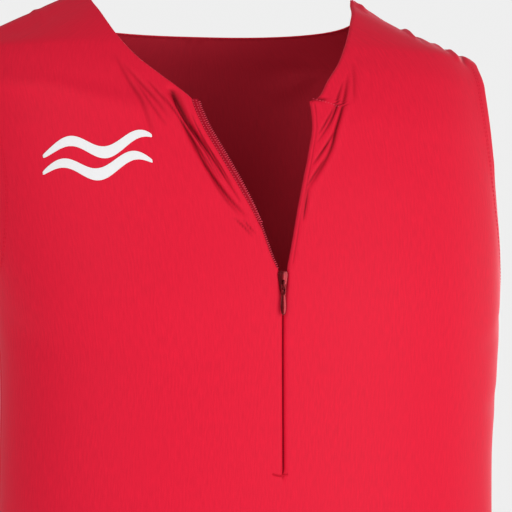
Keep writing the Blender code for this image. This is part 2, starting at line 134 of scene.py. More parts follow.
def smooth_path(places: Sequence[Place], per_span: int = 8) -> Array:
    """Run a smooth curve through a few places.

    Args:
        places: The places, in order.
        per_span: Points made from one place to the next.

    Returns:
        The curve's places, one row each.
    """
    knots = np.array(places, float)
    if len(knots) == 2:
        return mix(knots[:1], knots[1:], np.linspace(0, 1, per_span + 1)[:, None])
    ends = [2 * knots[0] - knots[1]], [2 * knots[-1] - knots[-2]]
    padded = np.concatenate([ends[0], knots, ends[1]])
    share = np.linspace(0, 1, per_span, endpoint=False)[:, None]
    spans = []
    for a, b, c, d in zip(padded, padded[1:], padded[2:], padded[3:]):
        cubic = (3 * b - 3 * c + d - a) * share**3
        spans.append((2 * b + (c - a) * share + (2 * a - 5 * b + 4 * c - d) * share**2 + cubic) / 2)
    return np.concatenate([*spans, knots[-1:]])


class Table:
    """Columns of numbers that follow the height smoothly, without overshooting between rows."""

    def __init__(self, rows: Sequence[Sequence[float]]) -> None:
        """Read the rows and work out the slopes between them.

        Args:
            rows: A height and its values, in order of height.
        """
        data = np.array(rows, float)
        self.z, self.values = data[:, 0], data[:, 1:]
        rise = np.diff(self.values, axis=0) / np.diff(self.z)[:, None]
        lower, upper = rise[:-1], rise[1:]
        same = lower * upper > 0
        total = np.where(same, lower + upper, 1.0)
        self.slopes = np.zeros_like(self.values)
        self.slopes[1:-1] = np.where(same, 2 * lower * upper / total, 0.0)

    def at(self, z: Array) -> Array:
        """The columns at these heights, one column first.

        Args:
            z: Heights, of any shape.

        Returns:
            An array with the columns along its first axis.
        """
        z = np.asarray(z, float)
        k = np.clip(np.searchsorted(self.z, z, side="right") - 1, 0, len(self.z) - 2)
        height = (self.z[k + 1] - self.z[k])[..., None]
        u = clamp((z - self.z[k])[..., None] / height)
        start = 2 * u**3 - 3 * u**2 + 1
        values = start * self.values[k] + (1 - start) * self.values[k + 1]
        values += height * (u**3 - 2 * u**2 + u) * self.slopes[k]
        values += height * (u**3 - u**2) * self.slopes[k + 1]
        return np.moveaxis(values, -1, 0)


# ---------------------------------------------------------------------------------------------
# The figure's surface and the cut
# ---------------------------------------------------------------------------------------------


class Section(NamedTuple):
    """A level section of the trunk. front and back are the depths from centre_y."""

    z: float
    half_width: float
    front: float
    back: float
    centre_x: float
    centre_y: float


class Edge(NamedTuple):
    """How far right and left of a section's centre the neck opening's edges lie."""

    z: float
    right: float
    left: float


HIP_X = 0.020
TRUNK = Table(
    (
        Section(-0.700, 0.176, 0.100, 0.110, HIP_X, 0.000),
        Section(-0.585, 0.178, 0.105, 0.118, HIP_X, 0.000),
        Section(-0.480, 0.172, 0.106, 0.106, HIP_X, 0.000),
        Section(-0.410, 0.168, 0.105, 0.094, HIP_X, 0.000),
        Section(-0.358, 0.174, 0.107, 0.096, 0.0210, 0.000),
        Section(-0.303, 0.174, 0.109, 0.100, 0.0215, 0.000),
        Section(-0.238, 0.176, 0.112, 0.106, 0.0235, 0.000),
        Section(-0.184, 0.181, 0.115, 0.112, 0.0220, 0.000),
        Section(-0.128, 0.187, 0.112, 0.112, 0.0170, 0.000),
        Section(-0.078, 0.189, 0.104, 0.106, 0.0100, 0.000),
        Section(-0.042, 0.188, 0.094, 0.096, 0.0050, 0.003),
        Section(-0.020, 0.180, 0.084, 0.086, 0.0020, 0.006),
        Section(-0.008, 0.158, 0.077, 0.078, 0.0010, 0.008),
        Section(0.006, 0.128, 0.068, 0.070, 0.0000, 0.010),
        Section(0.022, 0.097, 0.060, 0.064, 0.0000, 0.012),
        Section(0.052, 0.072, 0.056, 0.060, -0.0010, 0.014),
    )
)
SQUARENESS = 2.25
ANGLE_STEP = 0.5
HEIGHT_STEP = 0.001
TURN_STEP = 0.005
STAGE_STEP = 0.02


def trunk_point(angle: Array, z: Array) -> Array:
    """Points of the trunk's surface.

    Args:
        angle: Angles round the trunk, in degrees.
        z: Heights.

    Returns:
        The points.
    """
    half_width, front, back, centre_x, centre_y = TRUNK.at(z)
    turn = np.radians(angle)
    depth = np.where(np.cos(turn) > 0, front, back)
    x = centre_x + half_width * power(np.sin(turn), 2 / SQUARENESS)
    y = centre_y - depth * power(np.cos(turn), 2 / SQUARENESS)
    return np.stack(np.broadcast_arrays(x, y, z), axis=-1)


def trunk_normal(angle: Array, z: Array) -> Array:
    """Outward unit normals of the trunk's surface.

    Args:
        angle: Angles round the trunk, in degrees.
        z: Heights.

    Returns:
        The normals.
    """
    along = trunk_point(angle + ANGLE_STEP, z) - trunk_point(angle - ANGLE_STEP, z)
    up = trunk_point(angle, z + HEIGHT_STEP) - trunk_point(angle, z - HEIGHT_STEP)
    return unit(np.cross(along, up))


def angle_at(x_from_centre: Array, z: Array) -> Array:
    """Front angles of the points this far left (+) or right (-) of the section's centre."""
    share = np.minimum(np.abs(x_from_centre) / TRUNK.at(z)[0], 1.0)
    return np.sign(x_from_centre) * np.degrees(np.arcsin(share ** (SQUARENESS / 2)))


def turned(angle: Array, z: Array, distance: float) -> Array:
    """The angles reached by going this distance round the section."""
    span = trunk_point(angle + 1, z) - trunk_point(angle - 1, z)
    return angle + distance / (np.linalg.norm(span, axis=-1) / 2)


def cloth_across(angle: Array) -> Array:
    """Distance round the cloth from the centre front, measured at the chest.

    Args:
        angle: Angles round the trunk, in degrees.

    Returns:
        The distances, negative to the right.
    """
    stops = np.arange(-220.0, 221.0)
    ring = trunk_point(stops, np.full_like(stops, -0.238))
    lengths = np.linalg.norm(np.diff(ring, axis=0), axis=1)
    run = np.concatenate([[0], np.cumsum(lengths)])
    return np.interp(angle, stops, run - np.interp(0.0, stops, run))


@dataclass(frozen=True)
class Cut:
    """The suit's seams and edges. Each method takes heights and gives angles or distances."""

    neck_point_z: float = 0.022
    shoulder_tip_z: float = -0.022
    back_neck_z: float = 0.005
    neck_corner_z: float = -0.060
    foot_z: float = -0.1765
    underarm_z: float = -0.184
    zip_end_z: float = -0.3145
    waist_z: float = -0.410
    crotch_z: float = -0.660
    crotch_rise: float = 0.075
    hem_z: float = -0.850
    seam_at_neck: float = 77.0
    seam_at_tip: float = 81.5
    front_scoop: float = 17.0
    back_scoop: float = 20.0
    armhole_roundness: float = 0.6
    armhole_ease: float = 0.6
    zip_top_x: float = 0.0222
    zip_end_x: float = 0.0240
    tape_shown: float = 0.0044
    tape_shown_end: float = 0.0006
    tape_tuck_z: float = -0.150
    seam_half: float = 0.00010
    slit_half: float = 0.00055
    wall: float = 0.0009

    def opening(self) -> Table:
        """Edges of the open front, from the slider to the neck's corner.

        Returns:
            The right and the left edge, by height.
        """
        return Table(
            (
                Edge(self.foot_z, 0.0032, 0.0042),
                Edge(-0.168, 0.0059, 0.0062),
                Edge(-0.153, 0.0098, 0.0105),
                Edge(-0.137, 0.0137, 0.0152),
                Edge(-0.117, 0.0210, 0.0218),
                Edge(-0.095, 0.0298, 0.0302),
                Edge(-0.075, 0.0375, 0.0366),
                Edge(self.neck_corner_z, 0.0402, 0.0380),
            )
        )

    def neck(self) -> Table:
        """Edges of the neck, from the corner to the shoulder seam.

        Returns:
            The right and the left edge, by height.
        """
        return Table(
            (
                Edge(self.neck_corner_z, 0.0402 + self.tape_shown, 0.0380),
                Edge(-0.0573, 0.0468, 0.0439),
                Edge(-0.044, 0.0606, 0.0545),
                Edge(-0.028, 0.0757, 0.0678),
                Edge(-0.010, 0.0857, 0.0787),
                Edge(0.004, 0.0902, 0.0865),
                Edge(0.0158, 0.0940, 0.0925),
                Edge(self.neck_point_z, 0.0946, 0.0946),
            )
        )

    def zip_x(self, z: Array) -> Array:
        """How far the zip's line lies from the section's centre."""
        share = clamp((z - self.zip_end_z) / (self.foot_z - self.zip_end_z))
        return mix(self.zip_end_x, self.zip_top_x, share) - TRUNK.at(z)[3]

    def slit(self, z: Array) -> Array:
        """Half the gap between the cloth's edges along the closed zip.

        Args:
            z: Heights.

        Returns:
            Half of each gap, 0 below the zip.
        """
        rows = (
            (self.zip_end_z, 0.0),
            (self.zip_end_z + 0.0015, self.slit_half),
            (-0.205, self.slit_half),
            (-0.194, 0.0014),
            (-0.186, 0.0026),
            (self.foot_z, 0.0034),
        )
        return np.where(z < self.zip_end_z, 0.0, Table(rows).at(z)[0])

    def teeth_edge(self, side: Side, z: Array) -> Array:
        """The edge of the open front on one side, signed, tape included."""
        right, left = self.opening().at(z)
        return left if side is Side.LEFT else -right

    def shown_tape(self, z: Array) -> Array:
        """How far the wearer's right tape stands out past the cloth's edge."""
        share = clamp((z - self.neck_corner_z) / (self.tape_tuck_z - self.neck_corner_z))
        return mix(self.tape_shown, self.tape_shown_end, share**4)

    def cloth_edge(self, side: Side, z: Array) -> Array:
        """The front's edge on the zip, the open front and the neck, signed.

        Args:
            side: The wearer's side.
            z: Heights.

        Returns:
            The edge's distance from the section's centre.
        """
        low = self.zip_x(z) + side.value * self.slit(z)
        open_front = self.teeth_edge(side, z)
        right, left = self.neck().at(z)
        if side is Side.RIGHT:
            open_front = open_front - self.shown_tape(z)
        neck = left if side is Side.LEFT else -right
        upper = np.where(z < self.neck_corner_z, open_front, neck)
        return np.where(z <= self.foot_z, low, upper)

    def armhole(self, share: Array, scoop: float) -> tuple[Array, Array]:
        """The armhole's edge from the underarm (0) to the shoulder tip (1), on the left.

        Args:
            share: Shares of the way up.
            scoop: Degrees that the edge bows to the back, negative to the front.

        Returns:
            The angles and the heights.
        """
        share = clamp(share)
        eased = mix(share, (1 - np.cos(np.pi * share)) / 2, self.armhole_ease)
        z = mix(self.underarm_z, self.shoulder_tip_z, eased)
        bow = scoop * clamp(np.sin(np.pi * share)) ** self.armhole_roundness
        return mix(90.0, self.seam_at_tip, share) + bow, z

    def side_height(self, z: Array) -> Array:
        """The height on the side seam of the row that crosses the centre front at z."""
        share = (z - self.waist_z) / (self.foot_z - self.waist_z)
        return mix(self.waist_z, self.underarm_z, share)

    def climb(self, z: Array) -> Array:
        """The share of the way from the opening's foot to the neck point."""
        return (z - self.foot_z) / (self.neck_point_z - self.foot_z)


CUT = Cut()


@dataclass(frozen=True)
class Thigh:
    """The leg's sizes below the hips."""

    lead: float = 0.10
    half_width: float = 0.0887
    half_depth: float = 0.095
    centre_y: float = 0.008
    hem_centre: float = 0.0935
    hem_half_width: float = 0.076
    hem_half_depth: float = 0.079

    def hip_angle(self, turn: Array) -> Array:
        """The trunk's angle at a leg's turn, so that a quarter turn lies over the thigh."""
        return 180 * (turn - self.lead * np.sin(2 * np.pi * turn))

    def outside_z(self, stage: Array) -> Array:
        """The height of a stage on the leg's outer side.

        Args:
            stage: Stages down the leg.

        Returns:
            The heights.
        """
        top = CUT.crotch_z + CUT.crotch_rise
        hips = mix(CUT.waist_z - CUT.seam_half, top, stage)
        crotch = mix(top, CUT.crotch_z, stage - 1)
        return np.where(stage < 1, hips, np.where(stage < 2, crotch, self.thigh_z(stage)))

    def thigh_z(self, stage: Array) -> Array:
        """The height of a stage below the crotch."""
        return mix(CUT.crotch_z, CUT.hem_z, stage - 2)

    def surface(self, side: Side) -> Surface:
        """The leg's surface on one side, as a function of turn and stage.

        Args:
            side: The wearer's side.

        Returns:
            The function.
        """

        def point(turn: Array, stage: Array) -> Array:
            """Points of the leg at turns and stages.

            Args:
                turn: Turns round the leg.
                stage: Stages down the leg.

            Returns:
                The points.
            """
            around = 2 * np.pi * turn
            down = clamp(stage - 2)
            low_x = mix(self.half_width + CUT.seam_half, self.hem_centre, down)
            low_x = low_x - mix(self.half_width, self.hem_half_width, down) * np.cos(around)
            low_y = mix(self.centre_y, 0.0, down)
            low_y = low_y - mix(self.half_depth, self.hem_half_depth, down) * np.sin(around)
            quarter = np.pi / 2 * clamp(stage - 1)
            closed = 1 - np.cos(quarter)
            outside_z = self.outside_z(np.minimum(stage, 2.0))
            edge_z = CUT.crotch_z + CUT.crotch_rise * (1 - np.sin(quarter))
            hip = trunk_point(self.hip_angle(turn), outside_z)
            thigh_x = self.half_width * (1 - np.cos(around))
            thigh_y = self.centre_y - self.half_depth * np.sin(around)
            x = CUT.seam_half + mix(hip[..., 0] - HIP_X, thigh_x, closed)
            y = mix(hip[..., 1], thigh_y, closed)
            curve_z = mix(outside_z, edge_z, np.cos(np.pi * turn) ** 4)
            z = np.where(stage < 1, outside_z, curve_z)
            x = np.where(stage > 2, low_x, x)
            y = np.where(stage > 2, low_y, y)
            z = np.where(stage > 2, self.thigh_z(stage), z)
            return np.stack(np.broadcast_arrays(HIP_X + side.value * x, y, z), axis=-1)

        return point

    def normal(self, side: Side, turn: Array, stage: Array) -> Array:
        """Outward unit normals of the leg. On the centre seam they have no sideways part.

        Args:
            side: The wearer's side.
            turn: Turns round the leg.
            stage: Stages down the leg.

        Returns:
            The normals.
        """
        point = self.surface(side)
        low = np.where(stage < 2, clamp(turn - TURN_STEP), turn - TURN_STEP)
        high = np.where(stage < 2, clamp(turn + TURN_STEP), turn + TURN_STEP)
        along = point(high, stage) - point(low, stage)
        below, above = np.minimum(stage + STAGE_STEP, 3.0), np.maximum(stage - STAGE_STEP, 0.0)
        normals = unit(np.cross(point(turn, below) - point(turn, above), along) * side.value)
        on_seam = (stage < 2) & ((turn == 0) | (turn == 1))
        normals[..., 0] = np.where(on_seam, 0.0, normals[..., 0])
        return unit(normals)


THIGH = Thigh()


# ---------------------------------------------------------------------------------------------
# Folds, rolled edges and seams
# ---------------------------------------------------------------------------------------------


class Form(Enum):
    """The cross-section of a line in the cloth's relief."""

    CREASE = "a soft trough or ridge between shallow banks, fading at its ends"
    SWELL = "a broad rise without banks"
    GROOVE = "an even furrow, as along a seam"
    ROLL = "an edge that turns under"


class Fold(NamedTuple):
    """A crease through a few places. Its height is negative for a trough.

    Its height follows half a sine wave along it, from the share "opening" of that wave: at 0 the
    crease fades in, and at 0.5 it starts at its full height, as a pocket under an edge does.
    """

    places: tuple[Place, ...]
    start_width: float
    end_width: float
    height: float
    lean: float = 0.0
    opening: float = 0.0


class Swell(NamedTuple):
    """A broad rise of the cloth through a few places, from its start's height to its end's."""

    places: tuple[Place, ...]
    width: float
    start_height: float
    end_height: float


@dataclass
class Line:
    """A line on the cloth with a width, a height and a depth of painted shade at each point."""

    form: Form
    points: Array
    widths: Array
    heights: Array
    lean: float = 0.0
    shade: float = 0.0
    bank: float = 0.38
    bank_width: float = 2.1

    def profile(self, s: Array) -> Array:
        """The cross-section at signed distances, in widths, from the line.

        Args:
            s: The signed distances.

        Returns:
            The section's height, as a share of the line's.
        """
        if self.form is Form.ROLL:
            return -(1 - np.sqrt(1 - clamp(1 - np.abs(s)) ** 2))
        if self.form is Form.GROOVE:
            return -np.exp(-(s**2))
        if self.form is Form.SWELL:
            return np.exp(-(s**2))
        banks = self.bank * np.exp(-((s / self.bank_width) ** 2))
        return np.exp(-(s**2)) * (1 + self.lean * s) - banks

    def add_to(self, heights: Array, shades: Array, points: Array, normals: Array) -> None:
        """Add this line's height and painted shade at the points that lie near it.

        Args:
            heights: The heights so far, which are changed.
            shades: The painted shades so far, which are changed.
            points: Points of the surface.
            normals: Their normals.
        """
        reach = 4 * self.widths.max()
        low, high = self.points.min(0) - reach, self.points.max(0) + reach
        near = np.nonzero(((points > low) & (points < high)).all(1))[0]
        if not len(near):
            return
        spans = np.diff(self.points, axis=0)
        offset = points[near][:, None] - self.points[None, :-1]
        along = clamp((offset * spans).sum(-1) / (spans * spans).sum(-1))
        offset = offset - along[..., None] * spans
        best = (offset * offset).sum(-1).argmin(1)
        rows = np.arange(len(near))
        offset, along = offset[rows, best], along[rows, best]
        width = mix(self.widths[best], self.widths[best + 1], along)
        height = mix(self.heights[best], self.heights[best + 1], along)
        across = np.cross(spans[best], normals[near])
        distance = np.linalg.norm(offset, axis=1) * np.sign((across * offset).sum(-1))
        heights[near] += height * self.profile(distance / width)
        # Painted shade: the cloth's colour is darkened along the line's middle, more where the line is
        # deeper.
        if self.shade:
            taper = np.abs(height) / np.abs(self.heights).max()
            shades[near] += self.shade * taper * np.exp(-((1.9 * distance / width) ** 2))


class Relief:
    """Heights above a surface: the sum of its lines and of a faint unevenness. Some lines also paint shade.
    """

    def __init__(self, unevenness: float = 0.00022, seed: int = 7) -> None:
        """Start with the unevenness and no lines.

        Args:
            unevenness: The height of the faint unevenness.
            seed: The seed of its waves.
        """
        self.lines: list[Line] = []
        chance = np.random.default_rng(seed)
        self.waves = chance.normal(size=(14, 3)) * np.array([34.0, 34.0, 20.0])
        self.phases = chance.uniform(0, 2 * np.pi, 14)
        self.unevenness = unevenness

    def fold(self, surface: Surface, fold: Fold) -> None:
        """Add a crease on a surface.

        Args:
            surface: The surface that the places lie on.
            fold: The crease.
        """
        places = smooth_path(fold.places)
        share = np.linspace(0, 1, len(places))
        taper = clamp(np.sin(np.pi * mix(fold.opening, 1.0, share))) ** 0.75
        widths = mix(fold.start_width, fold.end_width, share)
        points = surface(places[:, 0], places[:, 1])
        # Narrow creases with steep sides also get painted shade, a darkening of the cloth's colour along
        # their hollows.
        steep = clamp(-fold.height / widths.min() / STEEP_CREASE)
        shade = CREASE_SHADE * steep if widths.min() < NARROW_CREASE else 0.0
        self.lines.append(Line(Form.CREASE, points, widths, fold.height * taper, fold.lean, shade))

    def swell(self, surface: Surface, swell: Swell) -> None:
        """Add a broad rise on a surface.

        Args:
            surface: The surface that the places lie on.
            swell: The rise.
        """
        places = smooth_path(swell.places)
        share = np.linspace(0, 1, len(places))
        points = surface(places[:, 0], places[:, 1])
        widths = np.full(len(places), swell.width)
        self.lines.append(Line(Form.SWELL, points, widths, mix(swell.start_height, swell.end_height, share)))

    def edge(self, form: Form, points: Array, width: float, height: float, shade: float = 0.0) -> None:
        """Add a groove or a rolled edge along points, with painted shade along it if shade is given."""
        every = np.full(len(points), 1.0)
        self.lines.append(Line(form, points, width * every, height * every, shade=shade))

    def survey(self, points: Array, normals: Array) -> tuple[Array, Array]:
        """The height along its normal and the depth of painted shade at each point of a surface.

        Args:
            points: The points.
            normals: Their outward unit normals.

        Returns:
            The heights and the painted shades.
        """
        heights = np.sin(points @ self.waves.T + self.phases).sum(1)
        heights *= self.unevenness / math.sqrt(len(self.waves))
        shades = np.zeros(len(points))
        for line in self.lines:
            line.add_to(heights, shades, points, normals)
        return heights, clamp(shades)

    def height(self, points: Array, normals: Array) -> Array:
        """The height at each point of a surface, along its normal."""
        return self.survey(points, normals)[0]


# How deeply narrow, steep creases darken the cloth's colour, as painted shade.
CREASE_SHADE = 1.0
STEEP_CREASE = 1.3
NARROW_CREASE = 0.0030


def over_shoulder(x: float, *drops: float) -> tuple[Place, ...]:
    """Places across a shoulder at one x.

    Args:
        x: How far left (+) or right (-) of the middle the places lie.
        drops: How far below the shoulder's crest each place lies, negative behind it.

    Returns:
        The places, in the order of the drops.
    """
    side = math.copysign(1.0, x)
    z = np.linspace(0.05, -0.04, 181)
    crest = np.interp(side * x, TRUNK.at(z)[0] + side * TRUNK.at(z)[3], z)
    places = []
    for drop in drops:
        height = crest - abs(drop)
        angle = float(angle_at(x - TRUNK.at(height)[3], height))
        places.append((side * 180 - angle if drop < 0 else angle, float(height)))
    return tuple(places)


# Broad rises of the shoulders and of the chest
SWELLS = (
    Swell(
        over_shoulder(-0.190, 0.001) + over_shoulder(-0.150, 0.001) + over_shoulder(-0.100, 0.001),
        0.017,
        0.0052,
        0.0052,
    ),
    Swell(over_shoulder(0.092, 0.001) + over_shoulder(0.106, 0.001), 0.0110, 0.0052, 0.0030),
    Swell(((80.0, -0.030), (75.0, -0.042), (71.0, -0.062), (70.0, -0.090)), 0.0140, 0.0062, 0.0016),
    Swell(((82.0, -0.135), (82.0, -0.160), (83.0, -0.180)), 0.0300, -0.0028, -0.0014),
    Swell(((-70.0, -0.046), (-46.0, -0.050), (-34.0, -0.058), (-24.0, -0.066)), 0.0085, 0.0028, 0.0016),
    Swell(((-78.0, -0.160), (-52.0, -0.186), (-26.0, -0.202)), 0.0280, 0.0030, 0.0022),
)

# Creases of the front, as places on the trunk
FRONT_FOLDS = (
    Fold(((-26.2, -0.027), (-23.8, -0.048), (-21.9, -0.062), (-20.6, -0.087)), 0.0022, 0.0034, -0.0012),
    Fold(((-24.6, -0.034), (-21.4, -0.049), (-18.6, -0.062), (-16.6, -0.074)), 0.0022, 0.0026, -0.0011),
    Fold(((-20.0, -0.046), (-17.6, -0.058), (-15.1, -0.071)), 0.0016, 0.0022, -0.0008),
    Fold(((-17.2, -0.0560), (-14.2, -0.0773), (-11.6, -0.0973), (-8.8, -0.1170)), 0.0010, 0.0012, -0.0011),
    Fold(((-15.9, -0.0606), (-13.8, -0.0773), (-10.4, -0.1007), (-7.3, -0.1217)), 0.0011, 0.0009, 0.0017),
    Fold(
        ((-14.9, -0.0560), (-14.1, -0.0650), (-12.9, -0.0773), (-11.4, -0.0876), (-9.8, -0.0985)),
        0.0040,
        0.0015,
        -0.0042,
        0.0,
        0.36,
    ),
    Fold(
        ((-12.9, -0.0760), (-11.4, -0.0876), (-9.4, -0.1020), (-7.6, -0.1156), (-5.4, -0.1320)),
        0.0014,
        0.0011,
        -0.0024,
    ),
    Fold(
        ((-14.6, -0.0740), (-12.6, -0.0930), (-10.4, -0.1115), (-7.6, -0.1285), (-4.7, -0.1412)),
        0.0014,
        0.0017,
        -0.0034,
        0.5,
    ),
    Fold(((-11.0, -0.1120), (-8.6, -0.1280), (-6.2, -0.1400)), 0.0022, 0.0018, -0.0008),
    Fold(
        ((-14.9, -0.0530), (-14.8, -0.0640), (-13.4, -0.0773), (-11.0, -0.0960), (-8.2, -0.1180)),
        0.0009,
        0.0009,
        -0.0014,
    ),
    Fold(((-12.2, -0.0700), (-10.6, -0.0880), (-8.6, -0.1040), (-6.6, -0.1200)), 0.0009, 0.0008, -0.0010),
    Fold(((-22.4, -0.0480), (-20.0, -0.0640), (-17.4, -0.0800)), 0.0016, 0.0020, -0.0008),
    Fold(((-7.2, -0.1420), (-5.8, -0.1470), (-4.2, -0.1545)), 0.0014, 0.0012, -0.0009),
    Fold(((-5.6, -0.1425), (-4.6, -0.1480), (-3.6, -0.1525)), 0.0010, 0.0010, -0.0008),
    Fold(((21.6, -0.030), (20.4, -0.044), (19.0, -0.060)), 0.0024, 0.0022, -0.0010),
    Fold(
        ((19.4, -0.038), (17.2, -0.0562), (13.9, -0.078), (11.4, -0.0955), (5.3, -0.1243)),
        0.0016,
        0.0018,
        -0.0026,
        0.4,
    ),
    Fold(
        ((17.8, -0.044), (15.6, -0.0564), (14.9, -0.0629), (12.4, -0.0759), (8.9, -0.0902)),
        0.0014,
        0.0013,
        -0.0018,
    ),
    Fold(((14.6, -0.0620), (11.9, -0.0740), (9.6, -0.0840)), 0.0012, 0.0012, -0.0012),
    Fold(((13.2, -0.0810), (10.4, -0.0930), (7.4, -0.1050)), 0.0013, 0.0012, -0.0016),
    Fold(((10.4, -0.0990), (7.8, -0.1100), (5.6, -0.1200)), 0.0014, 0.0013, -0.0012),
    Fold(((6.0, -0.1200), (5.0, -0.1330), (4.2, -0.1440)), 0.0014, 0.0012, -0.0014),
    Fold(((10.1, -0.0580), (12.6, -0.0592), (15.4, -0.0632)), 0.0010, 0.0008, -0.0010),
    Fold(over_shoulder(0.1345, -0.004, -0.001, 0.001, 0.004, 0.009), 0.0018, 0.0030, 0.0030),
    Fold(over_shoulder(0.1410, -0.003, 0.001, 0.005, 0.012), 0.0022, 0.0034, -0.0012),
    Fold(over_shoulder(0.1560, -0.003, 0.001, 0.004, 0.008), 0.0018, 0.0026, 0.0017),
    Fold(over_shoulder(0.1655, -0.005, -0.001, 0.002, 0.006, 0.012), 0.0024, 0.0034, 0.0024),
    Fold(over_shoulder(0.1725, -0.003, 0.001, 0.006, 0.012), 0.0020, 0.0030, -0.0014),
    Fold(over_shoulder(0.1030, -0.004, 0.001, 0.006), 0.0030, 0.0036, 0.0016),
    Fold(over_shoulder(-0.1280, -0.004, 0.001, 0.005, 0.010), 0.0024, 0.0034, 0.0013),
    Fold(((-82.0, -0.204), (-66.0, -0.222), (-48.0, -0.232), (-30.0, -0.235)), 0.0120, 0.0150, -0.0016),
    Fold(((82.0, -0.196), (70.0, -0.214), (56.0, -0.226)), 0.0060, 0.0090, -0.0012),
    Fold(((84.0, -0.250), (74.0, -0.262), (62.0, -0.268)), 0.0070, 0.0090, -0.0009),
    Fold(((-84.0, -0.335), (-70.0, -0.345), (-56.0, -0.348)), 0.0080, 0.0100, -0.0009),
    Fold(((85.0, -0.345), (72.0, -0.360), (58.0, -0.366)), 0.0080, 0.0100, -0.0010),
    Fold(((-86.0, -0.388), (-70.0, -0.383), (-52.0, -0.388)), 0.0060, 0.0080, -0.0009),
)

# Creases of the back, as places on the trunk
BACK_FOLDS = (
    Fold(((152.0, -0.362), (178.0, -0.372), (207.0, -0.364)), 0.0090, 0.0100, -0.0040),
    Fold(((140.0, -0.388), (170.0, -0.396), (192.0, -0.392)), 0.0070, 0.0080, -0.0032),
    Fold(((164.0, -0.344), (184.0, -0.349), (201.0, -0.345)), 0.0080, 0.0070, -0.0021),
    Fold(((99.0, -0.192), (112.0, -0.216), (128.0, -0.236)), 0.0055, 0.0080, -0.0034),
    Fold(((102.0, -0.176), (118.0, -0.190), (137.0, -0.197)), 0.0050, 0.0080, -0.0027),
    Fold(((-99.0, -0.194), (-114.0, -0.220), (-126.0, -0.243)), 0.0055, 0.0080, -0.0032),
    Fold(((-103.0, -0.172), (-120.0, -0.184), (-134.0, -0.188)), 0.0050, 0.0070, -0.0024),
    Fold(((176.0, -0.060), (179.0, -0.120), (181.0, -0.190), (180.0, -0.250)), 0.0130, 0.0160, -0.0032),
    Fold(((95.0, -0.372), (112.0, -0.380), (126.0, -0.377)), 0.0060, 0.0080, -0.0023),
    Fold(((-96.0, -0.366), (-110.0, -0.377), (-130.0, -0.379)), 0.0060, 0.0080, -0.0024),
    Fold(((150.0, -0.010), (157.0, -0.024), (168.0, -0.036)), 0.0050, 0.0070, -0.0023),
    Fold(((-148.0, -0.008), (-158.0, -0.026), (-171.0, -0.033)), 0.0050, 0.0060, -0.0021),
    Fold(((92.0, 0.004), (104.0, 0.002), (118.0, -0.008)), 0.0036, 0.0050, 0.0027),
    Fold(((-91.0, 0.006), (-101.0, -0.002), (-116.0, -0.006)), 0.0036, 0.0050, 0.0027),
)

# Creases of the legs, as turns and stages: shared ones, then each side's own
LEG_FOLDS = (
    Fold(((0.03, 1.55), (0.09, 1.30), (0.17, 1.12)), 0.0040, 0.0070, -0.0026),
    Fold(((0.04, 1.85), (0.11, 1.66), (0.20, 1.52)), 0.0040, 0.0060, -0.0021),
    Fold(((0.97, 1.60), (0.90, 1.38), (0.83, 1.24)), 0.0045, 0.0070, -0.0029),
    Fold(((0.95, 1.98), (0.87, 1.92), (0.77, 1.86), (0.68, 1.84)), 0.0060, 0.0080, -0.0042),
    Fold(((0.20, 0.96), (0.32, 0.84), (0.42, 0.80)), 0.0070, 0.0090, -0.0016),
)
RIGHT_LEG_FOLDS = (
    Fold(((0.02, 0.12), (0.10, 0.16), (0.22, 0.15)), 0.0070, 0.0080, -0.0018),
    Fold(((0.60, 2.10), (0.50, 2.16), (0.38, 2.14)), 0.0070, 0.0080, -0.0016),
    Fold(((0.10, 2.62), (0.22, 2.70), (0.32, 2.68)), 0.0060, 0.0070, -0.0013),
)
LEFT_LEG_FOLDS = (
    Fold(((0.03, 0.20), (0.12, 0.26), (0.20, 0.24)), 0.0060, 0.0080, -0.0016),
    Fold(((0.64, 2.22), (0.53, 2.27), (0.44, 2.24)), 0.0070, 0.0080, -0.0018),
    Fold(((0.16, 2.40), (0.27, 2.47), (0.40, 2.44)), 0.0060, 0.0080, -0.0014),
)


